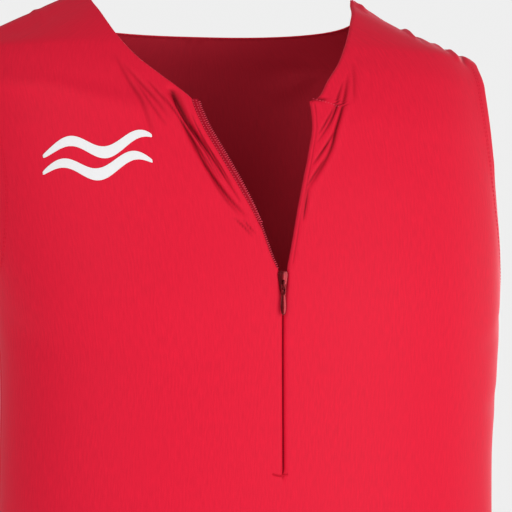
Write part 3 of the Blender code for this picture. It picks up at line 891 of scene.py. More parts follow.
@dataclass(frozen=True)
class SuitEdges:
    """The seams and edges as lines of points on the figure."""

    count: int = 90

    def trunk(self, angles: Array, z: Array) -> Array:
        """Points on the trunk."""
        return trunk_point(np.asarray(angles, float), np.asarray(z, float))

    def front_opening(self, side: Side) -> Array:
        """The front's edge from the zip's end to the shoulder seam."""
        z = np.linspace(CUT.zip_end_z, CUT.neck_point_z, 2 * self.count)
        return self.trunk(angle_at(CUT.cloth_edge(side, z), z), z)

    def inside_opening(self, side: Side, inset: float) -> Array:
        """A line beside the open front's edge, from the slider to the neck's corner."""
        z = np.linspace(CUT.foot_z + 0.004, CUT.neck_corner_z - 0.002, self.count)
        return self.trunk(angle_at(CUT.cloth_edge(side, z) + side.value * inset, z), z)

    def back_neck(self) -> Array:
        """The back's neck edge, from the right shoulder seam to the left one.

        Returns:
            The points.
        """
        share = np.linspace(-1, 1, self.count)
        angle = 180 + (180 - CUT.seam_at_neck) * share
        return self.trunk(angle, mix(CUT.back_neck_z, CUT.neck_point_z, share**2))

    def armhole(self, side: Side, scoop: float) -> Array:
        """Half an armhole, front or back, from the underarm to the shoulder tip."""
        angle, z = CUT.armhole(np.linspace(0, 1, self.count), scoop)
        return self.trunk(side.value * angle, z)

    def shoulder(self, side: Side) -> Array:
        """The shoulder seam, from the neck to the tip.

        Args:
            side: The wearer's side.

        Returns:
            The points.
        """
        share = np.linspace(0, 1, self.count)
        angle = mix(CUT.seam_at_neck, CUT.seam_at_tip, share)
        z = mix(CUT.neck_point_z, CUT.shoulder_tip_z, share)
        return self.trunk(side.value * angle, z)

    def side(self, side: Side) -> Array:
        """The side seam, from the waist to the underarm."""
        z = np.linspace(CUT.waist_z, CUT.underarm_z, self.count)
        return self.trunk(np.full_like(z, side.value * 90.0), z)

    def waist(self) -> Array:
        """The waist seam, all round."""
        angle = np.linspace(-180, 180, 2 * self.count)
        return self.trunk(angle, np.full_like(angle, CUT.waist_z))

    def leg(self, side: Side, turn: float, low: float, high: float) -> Array:
        """A line down a leg at one turn, between two stages."""
        stage = np.linspace(low, high, self.count)
        return THIGH.surface(side)(np.full_like(stage, turn), stage)

    def hem(self, side: Side, stage: float = 3.0) -> Array:
        """A ring round a leg."""
        turn = np.linspace(0, 1, 2 * self.count)
        return THIGH.surface(side)(turn, np.full_like(turn, stage))


EDGES = SuitEdges()


def trunk_relief() -> Relief:
    """The relief of the front, the back, the tapes and the motif.

    Returns:
        The relief.
    """
    relief = Relief()
    for swell in SWELLS:
        relief.swell(trunk_point, swell)
    for fold in FRONT_FOLDS + BACK_FOLDS:
        relief.fold(trunk_point, fold)
    for side in Side:
        relief.edge(Form.GROOVE, EDGES.shoulder(side), 0.0013, 0.0006)
        relief.edge(Form.GROOVE, EDGES.side(side), 0.0014, 0.0006)
        relief.edge(Form.ROLL, EDGES.armhole(side, -CUT.front_scoop), 0.0022, 0.0010)
        relief.edge(Form.ROLL, EDGES.armhole(side, CUT.back_scoop), 0.0022, 0.0010)
    relief.edge(Form.ROLL, EDGES.front_opening(Side.LEFT), 0.0024, 0.0022)
    # This groove beside the wearer's left edge of the open front also darkens the cloth's colour: a painted
    # shade line under the rolled edge.
    relief.edge(Form.GROOVE, EDGES.inside_opening(Side.LEFT, 0.0028), 0.0008, 0.0005, 0.40)
    relief.edge(Form.ROLL, EDGES.front_opening(Side.RIGHT), 0.0016, 0.0008)
    relief.edge(Form.ROLL, EDGES.back_neck(), 0.0022, 0.0010)
    relief.edge(Form.GROOVE, EDGES.waist(), 0.0014, 0.0006)
    return relief


def leg_relief(side: Side) -> Relief:
    """The relief of one leg.

    Args:
        side: The wearer's side.

    Returns:
        The relief.
    """
    own = RIGHT_LEG_FOLDS if side is Side.RIGHT else LEFT_LEG_FOLDS
    relief = Relief()
    for fold in LEG_FOLDS + own:
        relief.fold(THIGH.surface(side), fold)
    relief.edge(Form.GROOVE, EDGES.waist(), 0.0014, 0.0006)
    relief.edge(Form.GROOVE, EDGES.leg(side, 0.0, 0.0, 3.0), 0.0014, 0.0006)
    relief.edge(Form.GROOVE, EDGES.leg(side, 1.0, 0.0, 2.0), 0.0014, 0.0006)
    relief.edge(Form.ROLL, EDGES.hem(side), 0.0022, 0.0010)
    return relief


# ---------------------------------------------------------------------------------------------
# Node trees and finishes
# ---------------------------------------------------------------------------------------------


class Socket:
    """A value in a node tree, with Python's arithmetic."""

    def __init__(self, nodes: "Nodes", link: Any) -> None:
        """Hold a link and the maker of its tree."""
        self.nodes = nodes
        self.link = link

    def math(self, operation: str, *values: Any) -> "Socket":
        """Join this value and others by a Math node."""
        return self.nodes.node("ShaderNodeMath", {"operation": operation}, dict(enumerate(values))).out()

    def __add__(self, other: Any) -> "Socket":
        """This value plus another."""
        return self.math("ADD", self, other)

    __radd__ = __add__

    def __mul__(self, other: Any) -> "Socket":
        """This value times another."""
        return self.math("MULTIPLY", self, other)

    __rmul__ = __mul__

    def __sub__(self, other: Any) -> "Socket":
        """This value less another."""
        return self.math("SUBTRACT", self, other)

    def __rsub__(self, other: Any) -> "Socket":
        """Another value less this one."""
        return self.math("SUBTRACT", other, self)

    def sine(self) -> "Socket":
        """The sine of this value, in radians."""
        return self.math("SINE", self)


class Made:
    """A node that was just made, whose outputs are read by name or number."""

    def __init__(self, nodes: "Nodes", node: bpy.types.Node) -> None:
        """Hold a node and the maker of its tree."""
        self.nodes = nodes
        self.node = node

    def out(self, name: str | int = 0) -> Socket:
        """One of the node's outputs."""
        return Socket(self.nodes, self.node.outputs[name])


class Nodes:
    """Makes the nodes of one tree, for a material or for geometry."""

    def __init__(self, tree: bpy.types.NodeTree) -> None:
        """Work on one tree."""
        self.tree = tree

    def node(
        self,
        kind: str,
        settings: Mapping[str, Any] | None = None,
        values: Mapping[Any, Any] | None = None,
    ) -> Made:
        """Make a node.

        Args:
            kind: The node's type.
            settings: Its settings, which are set first. "stops" are a colour ramp's.
            values: Numbers, colours or links for its input sockets, by name or number.

        Returns:
            The node.
        """
        made = self.tree.nodes.new(kind)
        for name, value in (settings or {}).items():
            if name == "stops":
                self.set_stops(made.color_ramp, value)
            else:
                setattr(made, name, value)
        for name, value in (values or {}).items():
            self.feed(made.inputs[name], value)
        return Made(self, made)

    def feed(self, socket: bpy.types.NodeSocket, value: Any) -> None:
        """Link a value to a socket, or set it there.

        Args:
            socket: The input socket.
            value: A link, a number, a colour or a setting.
        """
        if isinstance(value, Socket):
            self.tree.links.new(value.link, socket)
        elif isinstance(value, tuple) and len(value) == 3 and socket.type == "RGBA":
            socket.default_value = (*value, 1.0)
        else:
            socket.default_value = value

    def set_stops(self, ramp: bpy.types.ColorRamp, stops: Sequence[tuple[float, Colour]]) -> None:
        """Give a colour ramp its stops.

        Args:
            ramp: The colour ramp.
            stops: A position and a colour for each stop.
        """
        for position, colour in stops[1:-1]:
            ramp.elements.new(position).color = (*colour, 1.0)
        for element, (position, colour) in zip((ramp.elements[0], ramp.elements[-1]), (stops[0], stops[-1])):
            element.position = position
            element.color = (*colour, 1.0)


@dataclass(frozen=True)
class Finish:
    """A plain finish. Subclasses add what varies over the surface."""

    name: str
    colour: Colour
    roughness: float = 0.5
    metallic: float = 0.0
    specular: float = 0.5
    coat: float = 0.0
    sheen: float = 0.0
    sheen_roughness: float = 0.3
    sheen_tint: Colour = (1.0, 1.0, 1.0)
    glow: float = 0.0

    def material(self) -> bpy.types.Material:
        """Make this finish's material.

        Returns:
            The material.
        """
        material = bpy.data.materials.new(self.name)
        material.use_nodes = True
        material.node_tree.nodes.clear()
        nodes = Nodes(material.node_tree)
        values = {
            "Base Color": self.colour,
            "Roughness": self.roughness,
            "Metallic": self.metallic,
            "Specular IOR Level": self.specular,
            "Coat Weight": self.coat,
            "Sheen Weight": self.sheen,
            "Sheen Roughness": self.sheen_roughness,
            "Sheen Tint": self.sheen_tint,
            "Emission Strength": self.glow,
        }
        values.update(self.varying(nodes))
        shader = nodes.node("ShaderNodeBsdfPrincipled", {}, values)
        nodes.node("ShaderNodeOutputMaterial", {}, {"Surface": shader.out()})
        return material

    def varying(self, nodes: Nodes) -> dict[str, Any]:
        """The sockets whose value changes over the surface."""
        return {}

    def noise(self, nodes: Nodes, vector: Socket, scale: float, detail: float = 2.0) -> Socket:
        """Even noise between 0 and 1 round 0.5."""
        values = {"Vector": vector, "Scale": scale, "Detail": detail}
        return nodes.node("ShaderNodeTexNoise", {}, values).out("Fac")

    def stretch(self, nodes: Nodes, vector: Socket, scale: tuple[float, float, float]) -> Socket:
        """A vector scaled along each axis."""
        values = {0: vector, 1: scale}
        return nodes.node("ShaderNodeVectorMath", {"operation": "MULTIPLY"}, values).out()

    def tinted(self, nodes: Nodes, amount: Socket, low: Colour | Socket, high: Colour) -> Socket:
        """A colour between two, by an amount."""
        values = {0: amount, 6: low, 7: high}
        return nodes.node("ShaderNodeMix", {"data_type": "RGBA"}, values).out(2)

    def bump(self, nodes: Nodes, height: Socket, distance: float, strength: float = 1.0) -> Socket:
        """A normal bent by a height."""
        values = {"Strength": strength, "Distance": distance, "Height": height}
        return nodes.node("ShaderNodeBump", {}, values).out()


@dataclass(frozen=True)
class KnitFinish(Finish):
    """Satin warp-knit stretch cloth, whose fine wales run up the body."""

    # The deep red that the creases are darkened towards: painted shade, not a colour of the cloth.
    painted_crease_shade_colour: Colour = (0.13, 0.0, 0.004)
    wale: float = 0.0012
    dash: float = 0.0085
    depth: float = 0.00016
    contrast: float = 0.10

    def varying(self, nodes: Nodes) -> dict[str, Any]:
        """Wales broken into dashes, in patches, a faint unevenness of the dye, and painted crease shade.

        Args:
            nodes: The maker of the nodes.

        Returns:
            The values, by socket.
        """
        flat = nodes.node("ShaderNodeUVMap", {"uv_map": "cloth"}).out()
        dashes = self.noise(nodes, self.stretch(nodes, flat, (1 / self.wale, 1 / self.dash, 1.0)), 1.0, 1.0)
        patches = self.noise(nodes, flat, 14.0, 1.0)
        grain = (dashes - 0.5) * (0.35 + 1.3 * patches)
        fine = self.noise(nodes, flat, 1500.0, 0.0)
        amount = 0.5 + grain * self.contrast * 10 + (fine - 0.5) * 0.25
        spread = self.contrast
        low = tuple(c * (1 - spread) for c in self.colour)
        high = tuple(min(c * (1 + spread), 1.0) for c in self.colour)
        # The crease attribute darkens the knit's colour in its creases: painted shade, as if the hollows lay
        # in shadow.
        crease = nodes.node("ShaderNodeAttribute", {"attribute_name": "crease"}).out("Fac")
        dyed = self.tinted(nodes, amount, low, high)
        return {
            "Base Color": self.tinted(nodes, crease, dyed, self.painted_crease_shade_colour),
            "Roughness": self.roughness + grain * 0.10,
            "Normal": self.bump(nodes, dashes + fine * 0.4, self.depth, 0.5),
        }


@dataclass(frozen=True)
class WovenFinish(Finish):
    """Ribbed woven tape."""

    rib: float = 0.0009
    depth: float = 0.00012

    def varying(self, nodes: Nodes) -> dict[str, Any]:
        """Ribs across the tape and its thread.

        Args:
            nodes: The maker of the nodes.

        Returns:
            The values, by socket.
        """
        flat = nodes.node("ShaderNodeUVMap", {"uv_map": "cloth"}).out()
        split = nodes.node("ShaderNodeSeparateXYZ", {}, {0: flat})
        ribs = (split.out(1) * (2 * math.pi / self.rib)).sine() * 0.5 + 0.5
        threads = self.noise(nodes, self.stretch(nodes, flat, (2600.0, 900.0, 1.0)), 1.0, 1.0)
        low = tuple(c * 0.74 for c in self.colour)
        high = tuple(min(c * 1.18, 1.0) for c in self.colour)
        amount = ribs * 0.6 + threads * 0.4
        return {
            "Base Color": self.tinted(nodes, amount, low, high),
            "Normal": self.bump(nodes, ribs + threads * 0.5, self.depth),
        }


@dataclass(frozen=True)
class SmoothFinish(Finish):
    """Thread, nylon, enamel or print: a smooth surface with small marks."""

    grain: float = 900.0
    contrast: float = 0.08
    depth: float = 0.00003

    def varying(self, nodes: Nodes) -> dict[str, Any]:
        """Small unevenness of colour and gloss.

        Args:
            nodes: The maker of the nodes.

        Returns:
            The values, by socket.
        """
        place = nodes.node("ShaderNodeTexCoord").out("Object")
        marks = self.noise(nodes, place, self.grain)
        low = tuple(c * (1 - self.contrast) for c in self.colour)
        high = tuple(min(c * (1 + self.contrast), 1.0) for c in self.colour)
        return {
            "Base Color": self.tinted(nodes, marks, low, high),
            "Roughness": self.roughness * 0.85 + marks * (0.3 * self.roughness),
            "Normal": self.bump(nodes, marks, self.depth),
        }


RED_CLOTH = KnitFinish(
    "red_stretch_knit",
    (0.78, 0.0105, 0.040),
    roughness=0.55,
    specular=0.10,
    sheen=0.10,
    sheen_roughness=0.35,
    sheen_tint=(1.0, 0.35, 0.50),
)
RED_INSIDE = KnitFinish(
    "red_knit_inside",
    (0.52, 0.012, 0.032),
    roughness=0.72,
    specular=0.2,
    sheen=0.12,
    sheen_tint=(1.0, 0.5, 0.6),
)
RED_TAPE = WovenFinish("red_zip_tape", (0.40, 0.002, 0.018), roughness=0.62, specular=0.12)
# The open and the closed teeth are one nylon coil in two colours: the open teeth lighter and pinker, a
# painted highlight over the nylon's red, and the closed teeth darker, painted shade in the closed zip's gap.
NYLON_PAINTED_HIGHLIGHT = SmoothFinish("nylon_teeth", (0.70, 0.045, 0.085), roughness=0.34, specular=0.15)
NYLON_PAINTED_SHADE = SmoothFinish("nylon_closed_teeth", (0.26, 0.0005, 0.008), roughness=0.45, specular=0.08)
ENAMEL = SmoothFinish(
    "dark_red_enamel", (0.17, 0.0004, 0.005), roughness=0.24, metallic=0.85, coat=0.3, grain=400.0
)
THREAD = SmoothFinish("red_thread", (0.74, 0.010, 0.038), roughness=0.60, specular=0.10)
PINK_THREAD = SmoothFinish("rose_thread", (0.80, 0.060, 0.11), roughness=0.50, specular=0.15)
WHITE_PRINT = SmoothFinish("white_print", (0.90, 0.90, 0.91), roughness=0.42, grain=500.0, contrast=0.02)


# ---------------------------------------------------------------------------------------------
# Cloth shells
# ---------------------------------------------------------------------------------------------


@dataclass
class Lattice:
    """Rows of points on a surface, with normals and places on the flat cloth."""

    points: Array
    normals: Array
    flat: Array

    def quads(self, first: int) -> Array:
        """Four corners for each cell, facing along the normals.

        Args:
            first: The number of this lattice's first point.

        Returns:
            One row of four point numbers for each cell.
        """
        rows, columns = self.points.shape[:2]
        ids = first + np.arange(rows * columns).reshape(rows, columns)
        cells = np.stack([ids[:-1, :-1], ids[:-1, 1:], ids[1:, 1:], ids[1:, :-1]], axis=-1)
        middle = (rows // 2, columns // 2)
        along = self.points[middle[0], middle[1] + 1] - self.points[middle]
        up = self.points[middle[0] + 1, middle[1]] - self.points[middle]
        if np.dot(np.cross(along, up), self.normals[middle]) < 0:
            cells = cells[..., ::-1]
        return cells.reshape(-1, 4)


def trunk_lattice(angle: Array, z: Array) -> Lattice:
    """A lattice on the trunk."""
    flat = np.stack([cloth_across(angle), z], axis=-1)
    return Lattice(trunk_point(angle, z), trunk_normal(angle, z), flat)


@dataclass
class Shell:
    """A thin piece of cloth with an outer face, an inner face and a rounded rim."""

    name: str
    lattices: list[Lattice]
    relief: Relief
    wall: float = CUT.wall
    lift: float = 0.0
    rim_steps: int = 3

    def merged(self) -> tuple[Array, Array, Array, Array]:
        """The points, normals, cells and flat places, with shared edges joined.

        Returns:
            The four arrays.
        """
        points = np.concatenate([one.points.reshape(-1, 3) for one in self.lattices])
        normals = np.concatenate([one.normals.reshape(-1, 3) for one in self.lattices])
        flat = np.concatenate([one.flat.reshape(-1, 2) for one in self.lattices])
        sizes = np.cumsum([0] + [one.points.shape[0] * one.points.shape[1] for one in self.lattices])
        cells = np.concatenate([one.quads(first) for one, first in zip(self.lattices, sizes)])
        keys = np.round(points / 2e-6).astype(np.int64)
        _, kept, joined = np.unique(keys, axis=0, return_index=True, return_inverse=True)
        joined = joined.reshape(-1)
        return points[kept], normals[kept], joined[cells], flat[cells]

    def build(self, *finishes: bpy.types.Material) -> bpy.types.Object:
        """Make the piece.

        Args:
            finishes: The outer face's material and, if it differs, the inner face's.

        Returns:
            The piece's object.
        """
        points, normals, cells, flat = self.merged()
        heights, shades = self.relief.survey(points, normals)
        outer = points + normals * (heights + self.lift)[:, None]
        facing = vertex_normals(outer, cells)
        count = len(outer)
        rim_points, rim_cells, rim_flat = self.rim(outer, facing, cells, flat)
        vertices = np.concatenate([outer, outer - facing * self.wall, rim_points])
        faces = np.concatenate([cells, cells[:, ::-1] + count, rim_cells])
        places = np.concatenate([flat, flat[:, ::-1], rim_flat])
        inside = np.zeros(len(faces), np.int32)
        inside[len(cells) : 2 * len(cells)] = min(1, len(finishes) - 1)
        mesh = bpy.data.meshes.new(self.name)
        mesh.from_pydata(vertices.tolist(), [], faces.tolist())
        mesh.uv_layers.new(name="cloth").data.foreach_set("uv", places.astype(np.float32).ravel())
        # The crease attribute is painted shade: the relief's darkening of the outer face's colour along
        # narrow creases. The inner face and the rim get none.
        crease = np.concatenate([shades, np.zeros(len(vertices) - count)]).astype(np.float32)
        mesh.attributes.new("crease", "FLOAT", "POINT").data.foreach_set("value", crease)
        for finish in finishes:
            mesh.materials.append(finish)
        mesh.polygons.foreach_set("material_index", inside)
        return add_object(self.name, mesh)

    def rim(self, outer: Array, facing: Array, cells: Array, flat: Array) -> tuple[Array, Array, Array]:
        """The rounded rim along every free edge.

        Args:
            outer: Points of the outer face.
            facing: Their normals.
            cells: The outer face's cells.
            flat: The flat place of each cell's corner.

        Returns:
            The rim's points, cells and flat places.
        """
        heads, tails = cells.reshape(-1), np.roll(cells, -1, axis=1).reshape(-1)
        head_flat, tail_flat = flat.reshape(-1, 2), np.roll(flat, -1, axis=1).reshape(-1, 2)
        count = len(outer)
        free = ~np.isin(heads * count + tails, tails * count + heads)
        heads, tails, head_flat, tail_flat = heads[free], tails[free], head_flat[free], tail_flat[free]
        away = np.zeros_like(outer)
        outward = unit(np.cross(outer[tails] - outer[heads], facing[heads] + facing[tails]))
        np.add.at(away, heads, outward)
        np.add.at(away, tails, outward)
        rim = np.unique(heads)
        away = unit(away[rim])
        radius = self.wall / 2
        centre = outer[rim] - facing[rim] * radius
        rings = []
        for k in range(1, self.rim_steps + 1):
            turn = math.pi * k / (self.rim_steps + 1)
            rings.append(centre + radius * (facing[rim] * math.cos(turn) + away * math.sin(turn)))
        number = np.full(count, -1)
        number[rim] = np.arange(len(rim))
        head_ids = [heads] + [2 * count + k * len(rim) + number[heads] for k in range(self.rim_steps)]
        tail_ids = [tails] + [2 * count + k * len(rim) + number[tails] for k in range(self.rim_steps)]
        head_ids.append(heads + count)
        tail_ids.append(tails + count)
        strips = zip(head_ids, head_ids[1:], tail_ids, tail_ids[1:])
        made = [
            np.stack([tail, head, next_head, next_tail], axis=1)
            for head, next_head, tail, next_tail in strips
        ]
        corners = np.stack([tail_flat, head_flat, head_flat, tail_flat], axis=1)
        return np.concatenate(rings), np.concatenate(made), np.concatenate([corners] * len(made))


def vertex_normals(points: Array, cells: Array) -> Array:
    """Unit normals at the points of a mesh of four-cornered cells.

    Args:
        points: The points.
        cells: Each cell's four points.

    Returns:
        The normals.
    """
    a, b, c, d = (points[cells[:, k]] for k in range(4))
    face = np.cross(c - a, d - b)
    total = np.zeros_like(points)
    for k in range(4):
        np.add.at(total, cells[:, k], face)
    return unit(total)


def add_object(name: str, mesh: bpy.types.Mesh) -> bpy.types.Object:
    """Link a mesh as a smooth-shaded object.

    Args:
        name: The object's name.
        mesh: The mesh.

    Returns:
        The object.
    """
    mesh.validate()
    mesh.shade_smooth()
    made = bpy.data.objects.new(name, mesh)
    bpy.context.scene.collection.objects.link(made)
    return made


# ---------------------------------------------------------------------------------------------
# Rows of small pieces, by Geometry Nodes
# ---------------------------------------------------------------------------------------------


@dataclass(frozen=True)
class Bead:
    """A small rounded piece that repeats along a path: a stitch or a tooth."""

    pitch: float
    length: float
    width: float
    height: float
    turn: float = 0.0
    shake: float = 0.0
    seed: int = 3


class BeadRow:
    """A Geometry Nodes tree that sets beads along paths."""

    SIZES = ("Pitch", "Length", "Width", "Height", "Turn", "Shake")

    def __init__(self) -> None:
        self.tree = bpy.data.node_groups.new("bead_row", "GeometryNodeTree")
        face = self.tree.interface
        face.new_socket("Paths", in_out="INPUT", socket_type="NodeSocketGeometry")
        for name in self.SIZES:
            face.new_socket(name, in_out="INPUT", socket_type="NodeSocketFloat")
        face.new_socket("Seed", in_out="INPUT", socket_type="NodeSocketInt")
        face.new_socket("Finish", in_out="INPUT", socket_type="NodeSocketMaterial")
        face.new_socket("Beads", in_out="OUTPUT", socket_type="NodeSocketGeometry")
        self.build(Nodes(self.tree))

    def build(self, nodes: Nodes) -> None:
        """Make the tree's nodes.

        Args:
            nodes: The maker of the nodes.
        """
        given = nodes.node("NodeGroupInput")
        curve = nodes.node("GeometryNodeMeshToCurve", {}, {0: given.out("Paths")}).out()
        spacing = {"Curve": curve, "Length": given.out("Pitch")}
        even = nodes.node("GeometryNodeResampleCurve", {"mode": "LENGTH"}, spacing)
        vectors = {"data_type": "FLOAT_VECTOR"}
        facing = nodes.node("GeometryNodeInputNamedAttribute", vectors, {"Name": "facing"})
        tangent = nodes.node("GeometryNodeInputTangent")
        upright = nodes.node("FunctionNodeAlignRotationToVector", {"axis": "Z"}, {"Vector": facing.out()})
        along = nodes.node(
            "FunctionNodeAlignRotationToVector",
            {"axis": "X", "pivot_axis": "Z"},
            {"Rotation": upright.out(), "Vector": tangent.out()},
        )
        chance = nodes.node("FunctionNodeRandomValue", {"data_type": "FLOAT"}, {"Seed": given.out("Seed")})
        swing = (chance.out(1) - 0.5) * given.out("Shake") + given.out("Turn")
        spin = nodes.node("ShaderNodeCombineXYZ", {}, {"Z": swing})
        turned_by = nodes.node("FunctionNodeEulerToRotation", {}, {0: spin.out()})
        rotation = nodes.node(
            "FunctionNodeRotateRotation", {"rotation_space": "LOCAL"}, {0: along.out(), 1: turned_by.out()}
        )
        sizes = {"X": given.out("Length"), "Y": given.out("Width"), "Z": given.out("Height")}
        scale = nodes.node("ShaderNodeCombineXYZ", {}, sizes)
        bead = nodes.node("GeometryNodeMeshUVSphere", {}, {"Segments": 6, "Rings": 4, "Radius": 0.5})
        placed = nodes.node(
            "GeometryNodeInstanceOnPoints",
            {},
            {"Points": even.out(), "Instance": bead.out(), "Rotation": rotation.out(), "Scale": scale.out()},
        )
        real = nodes.node("GeometryNodeRealizeInstances", {}, {0: placed.out()})
        smooth = nodes.node("GeometryNodeSetShadeSmooth", {}, {0: real.out()})
        dressing = {"Geometry": smooth.out(), "Material": given.out("Finish")}
        finished = nodes.node("GeometryNodeSetMaterial", {}, dressing)
        nodes.node("NodeGroupOutput", {}, {0: finished.out()})

    def run(
        self,
        name: str,
        paths: Sequence[tuple[Array, Array]],
        bead: Bead,
        finish: bpy.types.Material,
    ) -> bpy.types.Object:
        """Set beads along paths and return them as one plain mesh.

        Args:
            name: The piece's name.
            paths: For each path its points and the way that each faces.
            bead: The bead's sizes and pitch.
            finish: The beads' material.

        Returns:
            The piece's object.
        """
        edges, first = [], 0
        for points, _ in paths:
            edges += [(first + k, first + k + 1) for k in range(len(points) - 1)]
            first += len(points)
        mesh = bpy.data.meshes.new(name + "_paths")
        mesh.from_pydata(np.concatenate([points for points, _ in paths]).tolist(), edges, [])
        facing = mesh.attributes.new("facing", "FLOAT_VECTOR", "POINT")
        every_way = np.concatenate([ways for _, ways in paths]).astype(np.float32)
        facing.data.foreach_set("vector", every_way.ravel())
        host = bpy.data.objects.new(name + "_paths", mesh)
        bpy.context.scene.collection.objects.link(host)
        modifier = host.modifiers.new("beads", "NODES")
        modifier.node_group = self.tree
        given = {
            "Pitch": bead.pitch,
            "Length": bead.length,
            "Width": bead.width,
            "Height": bead.height,
            "Turn": math.radians(bead.turn),
            "Shake": math.radians(bead.shake),
            "Seed": bead.seed,
            "Finish": finish,
        }
        for item in self.tree.interface.items_tree:
            if item.in_out == "INPUT" and item.name in given:
                modifier[item.identifier] = given[item.name]
        graph = bpy.context.evaluated_depsgraph_get()
        beads = bpy.data.meshes.new_from_object(host.evaluated_get(graph), depsgraph=graph)
        host.modifiers.remove(modifier)
        bpy.data.objects.remove(host, do_unlink=True)
        beads.name = name
        made = bpy.data.objects.new(name, beads)
        bpy.context.scene.collection.objects.link(made)
        return made


def on_trunk(relief: Relief, angle: Array, z: Array, lift: float) -> tuple[Array, Array]:
    """A path on the cloth of the trunk and the way that it faces."""
    points, normals = trunk_point(angle, z), trunk_normal(angle, z)
    return points + normals * (relief.height(points, normals) + lift)[:, None], normals


def on_leg(relief: Relief, side: Side, turn: Array, stage: Array, lift: float) -> tuple[Array, Array]:
    """A path on the cloth of a leg and the way that it faces."""
    points, normals = THIGH.surface(side)(turn, stage), THIGH.normal(side, turn, stage)
    return points + normals * (relief.height(points, normals) + lift)[:, None], normals


# ---------------------------------------------------------------------------------------------
# The suit's sub-assemblies
# ---------------------------------------------------------------------------------------------


def register(piece: bpy.types.Object, body: str, slot: str, *nodes: str) -> bpy.types.Object:
    """Let a piece ride on a body and stand for nodes, and log it.

    Args:
        piece: The piece.
        body: The body that it rides on.
        slot: The finish slot. Not used.
        nodes: The solids that it stands for.

    Returns:
        The piece.
    """
    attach(piece, body)
    if nodes:
        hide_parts(*nodes)
    mesh = piece.data
    mesh.calc_loop_triangles()
    log.info("%s: %d triangles on %s", piece.name, len(mesh.loop_triangles), body)
    return piece


@dataclass
class TrunkCloth:
    """The front and the back, with their creases and rolled edges."""

    relief: Relief = field(default_factory=trunk_relief)
    front_flat: tuple[float, float] = (0.50, 0.43)
    front_area: float = 0.165
    back_flat: tuple[float, float] = (0.50, 0.43)
    back_area: float = 0.185

    def front_heights(self) -> Array:
        """Row heights at the centre front, closer where the creases are.

        Returns:
            The heights.
        """
        low = np.linspace(CUT.waist_z + CUT.seam_half, CUT.zip_end_z, 24, endpoint=False)
        zipped = np.linspace(CUT.zip_end_z, CUT.foot_z, 40, endpoint=False)
        opened = np.linspace(CUT.foot_z, CUT.neck_corner_z, 70, endpoint=False)
        neck = mix(CUT.neck_corner_z, CUT.neck_point_z, steps((0, 0.92, 38), (0.92, 1, 6)))
        return np.concatenate([low, zipped, opened, neck])

    def front_half(self, side: Side) -> Lattice:
        """One half of the front, from the zip to the side seam.

        Args:
            side: The wearer's side.

        Returns:
            The half.
        """
        z = self.front_heights()
        inner = angle_at(CUT.cloth_edge(side, z), z)
        low = CUT.side_height(z)
        arm_angle, arm_z = CUT.armhole(CUT.climb(z), -CUT.front_scoop)
        below = z <= CUT.foot_z
        outer_z = np.where(below, low, arm_z)
        outer = turned(np.where(below, 90.0, arm_angle), outer_z, -CUT.seam_half) * side.value
        inner[-1] = side.value * turned(CUT.seam_at_neck, CUT.neck_point_z, -CUT.seam_half)
        share = steps((0, 0.02, 7), (0.02, 0.28, 64), (0.28, 0.42, 14), (0.42, 0.97, 26), (0.97, 1, 4))
        return trunk_lattice(
            mix(inner[:, None], outer[:, None], share), mix(z[:, None], outer_z[:, None], share)
        )

    def back_half(self, side: Side) -> Lattice:
        """One half of the back, from the centre back to the side seam.

        Args:
            side: The wearer's side.

        Returns:
            The half.
        """
        z = self.front_heights()[::2]
        z = np.append(z[z < CUT.neck_point_z - 0.001], CUT.neck_point_z)
        climb = CUT.climb(z)
        arm_angle, arm_z = CUT.armhole(climb, CUT.back_scoop)
        below = z <= CUT.foot_z
        outer_z = np.where(below, CUT.side_height(z), arm_z)
        outer = turned(np.where(below, 90.0, arm_angle), outer_z, CUT.seam_half)
        rise = clamp((z - CUT.foot_z) / (CUT.neck_corner_z - CUT.foot_z))
        neck = clamp((z - CUT.neck_corner_z) / (CUT.neck_point_z - CUT.neck_corner_z))
        seam = turned(CUT.seam_at_neck, CUT.neck_point_z, CUT.seam_half)
        inner = mix(180.0, seam, neck)
        centre_z = mix(CUT.underarm_z, CUT.back_neck_z, rise)
        inner_z = np.where(below, CUT.side_height(z), mix(centre_z, CUT.neck_point_z, neck**2))
        share = steps((0, 0.96, 66), (0.96, 1, 6))
        return trunk_lattice(
            side.value * mix(inner[:, None], outer[:, None], share),
            mix(inner_z[:, None], outer_z[:, None], share),
        )

    def build(self, finishes: Sequence[bpy.types.Material]) -> None:
        """Make both pieces.

        Args:
            finishes: The outer and the inner face's materials.
        """
        for name, half, flat, area in (
            ("front", self.front_half, self.front_flat, self.front_area),
            ("back", self.back_half, self.back_flat, self.back_area),
        ):
            shell = Shell("suit_" + name, [half(side) for side in Side], self.relief)
            piece = register(shell.build(*finishes), SUIT_BODY, "suit_cloth", name)


@dataclass
class LegCloth:
    """The two leg pieces, each a tube below the crotch."""

    flat: tuple[float, float] = (0.54, 0.44)
    area: float = 0.205

    def lattice(self, side: Side) -> Lattice:
        """The leg's points, from the waist to the hem.

        Args:
            side: The wearer's side.

        Returns:
            The points, normals and flat places.
        """
        stage = steps((0, 0.05, 6), (0.05, 1, 56), (1, 2, 46), (2, 2.95, 56), (2.95, 3, 6))
        turn = steps((0, 0.02, 4), (0.02, 0.98, 112), (0.98, 1, 4))
        turn, stage = np.meshgrid(turn, stage)
        flat = np.stack([cloth_across(side.value * THIGH.hip_angle(turn)), THIGH.outside_z(stage)], axis=-1)
        return Lattice(THIGH.surface(side)(turn, stage), THIGH.normal(side, turn, stage), flat)

    def build(self, finishes: Sequence[bpy.types.Material]) -> dict[Side, Relief]:
        """Make both legs.

        Args:
            finishes: The outer and the inner face's materials.

        Returns:
            Each side's relief.
        """
        reliefs = {side: leg_relief(side) for side in Side}
        for side, relief in reliefs.items():
            name = "leg_" + side.name.lower()
            shell = Shell("suit_" + name, [self.lattice(side)], relief)
            piece = register(shell.build(*finishes), SUIT_BODY, "suit_cloth", name)
        return reliefs


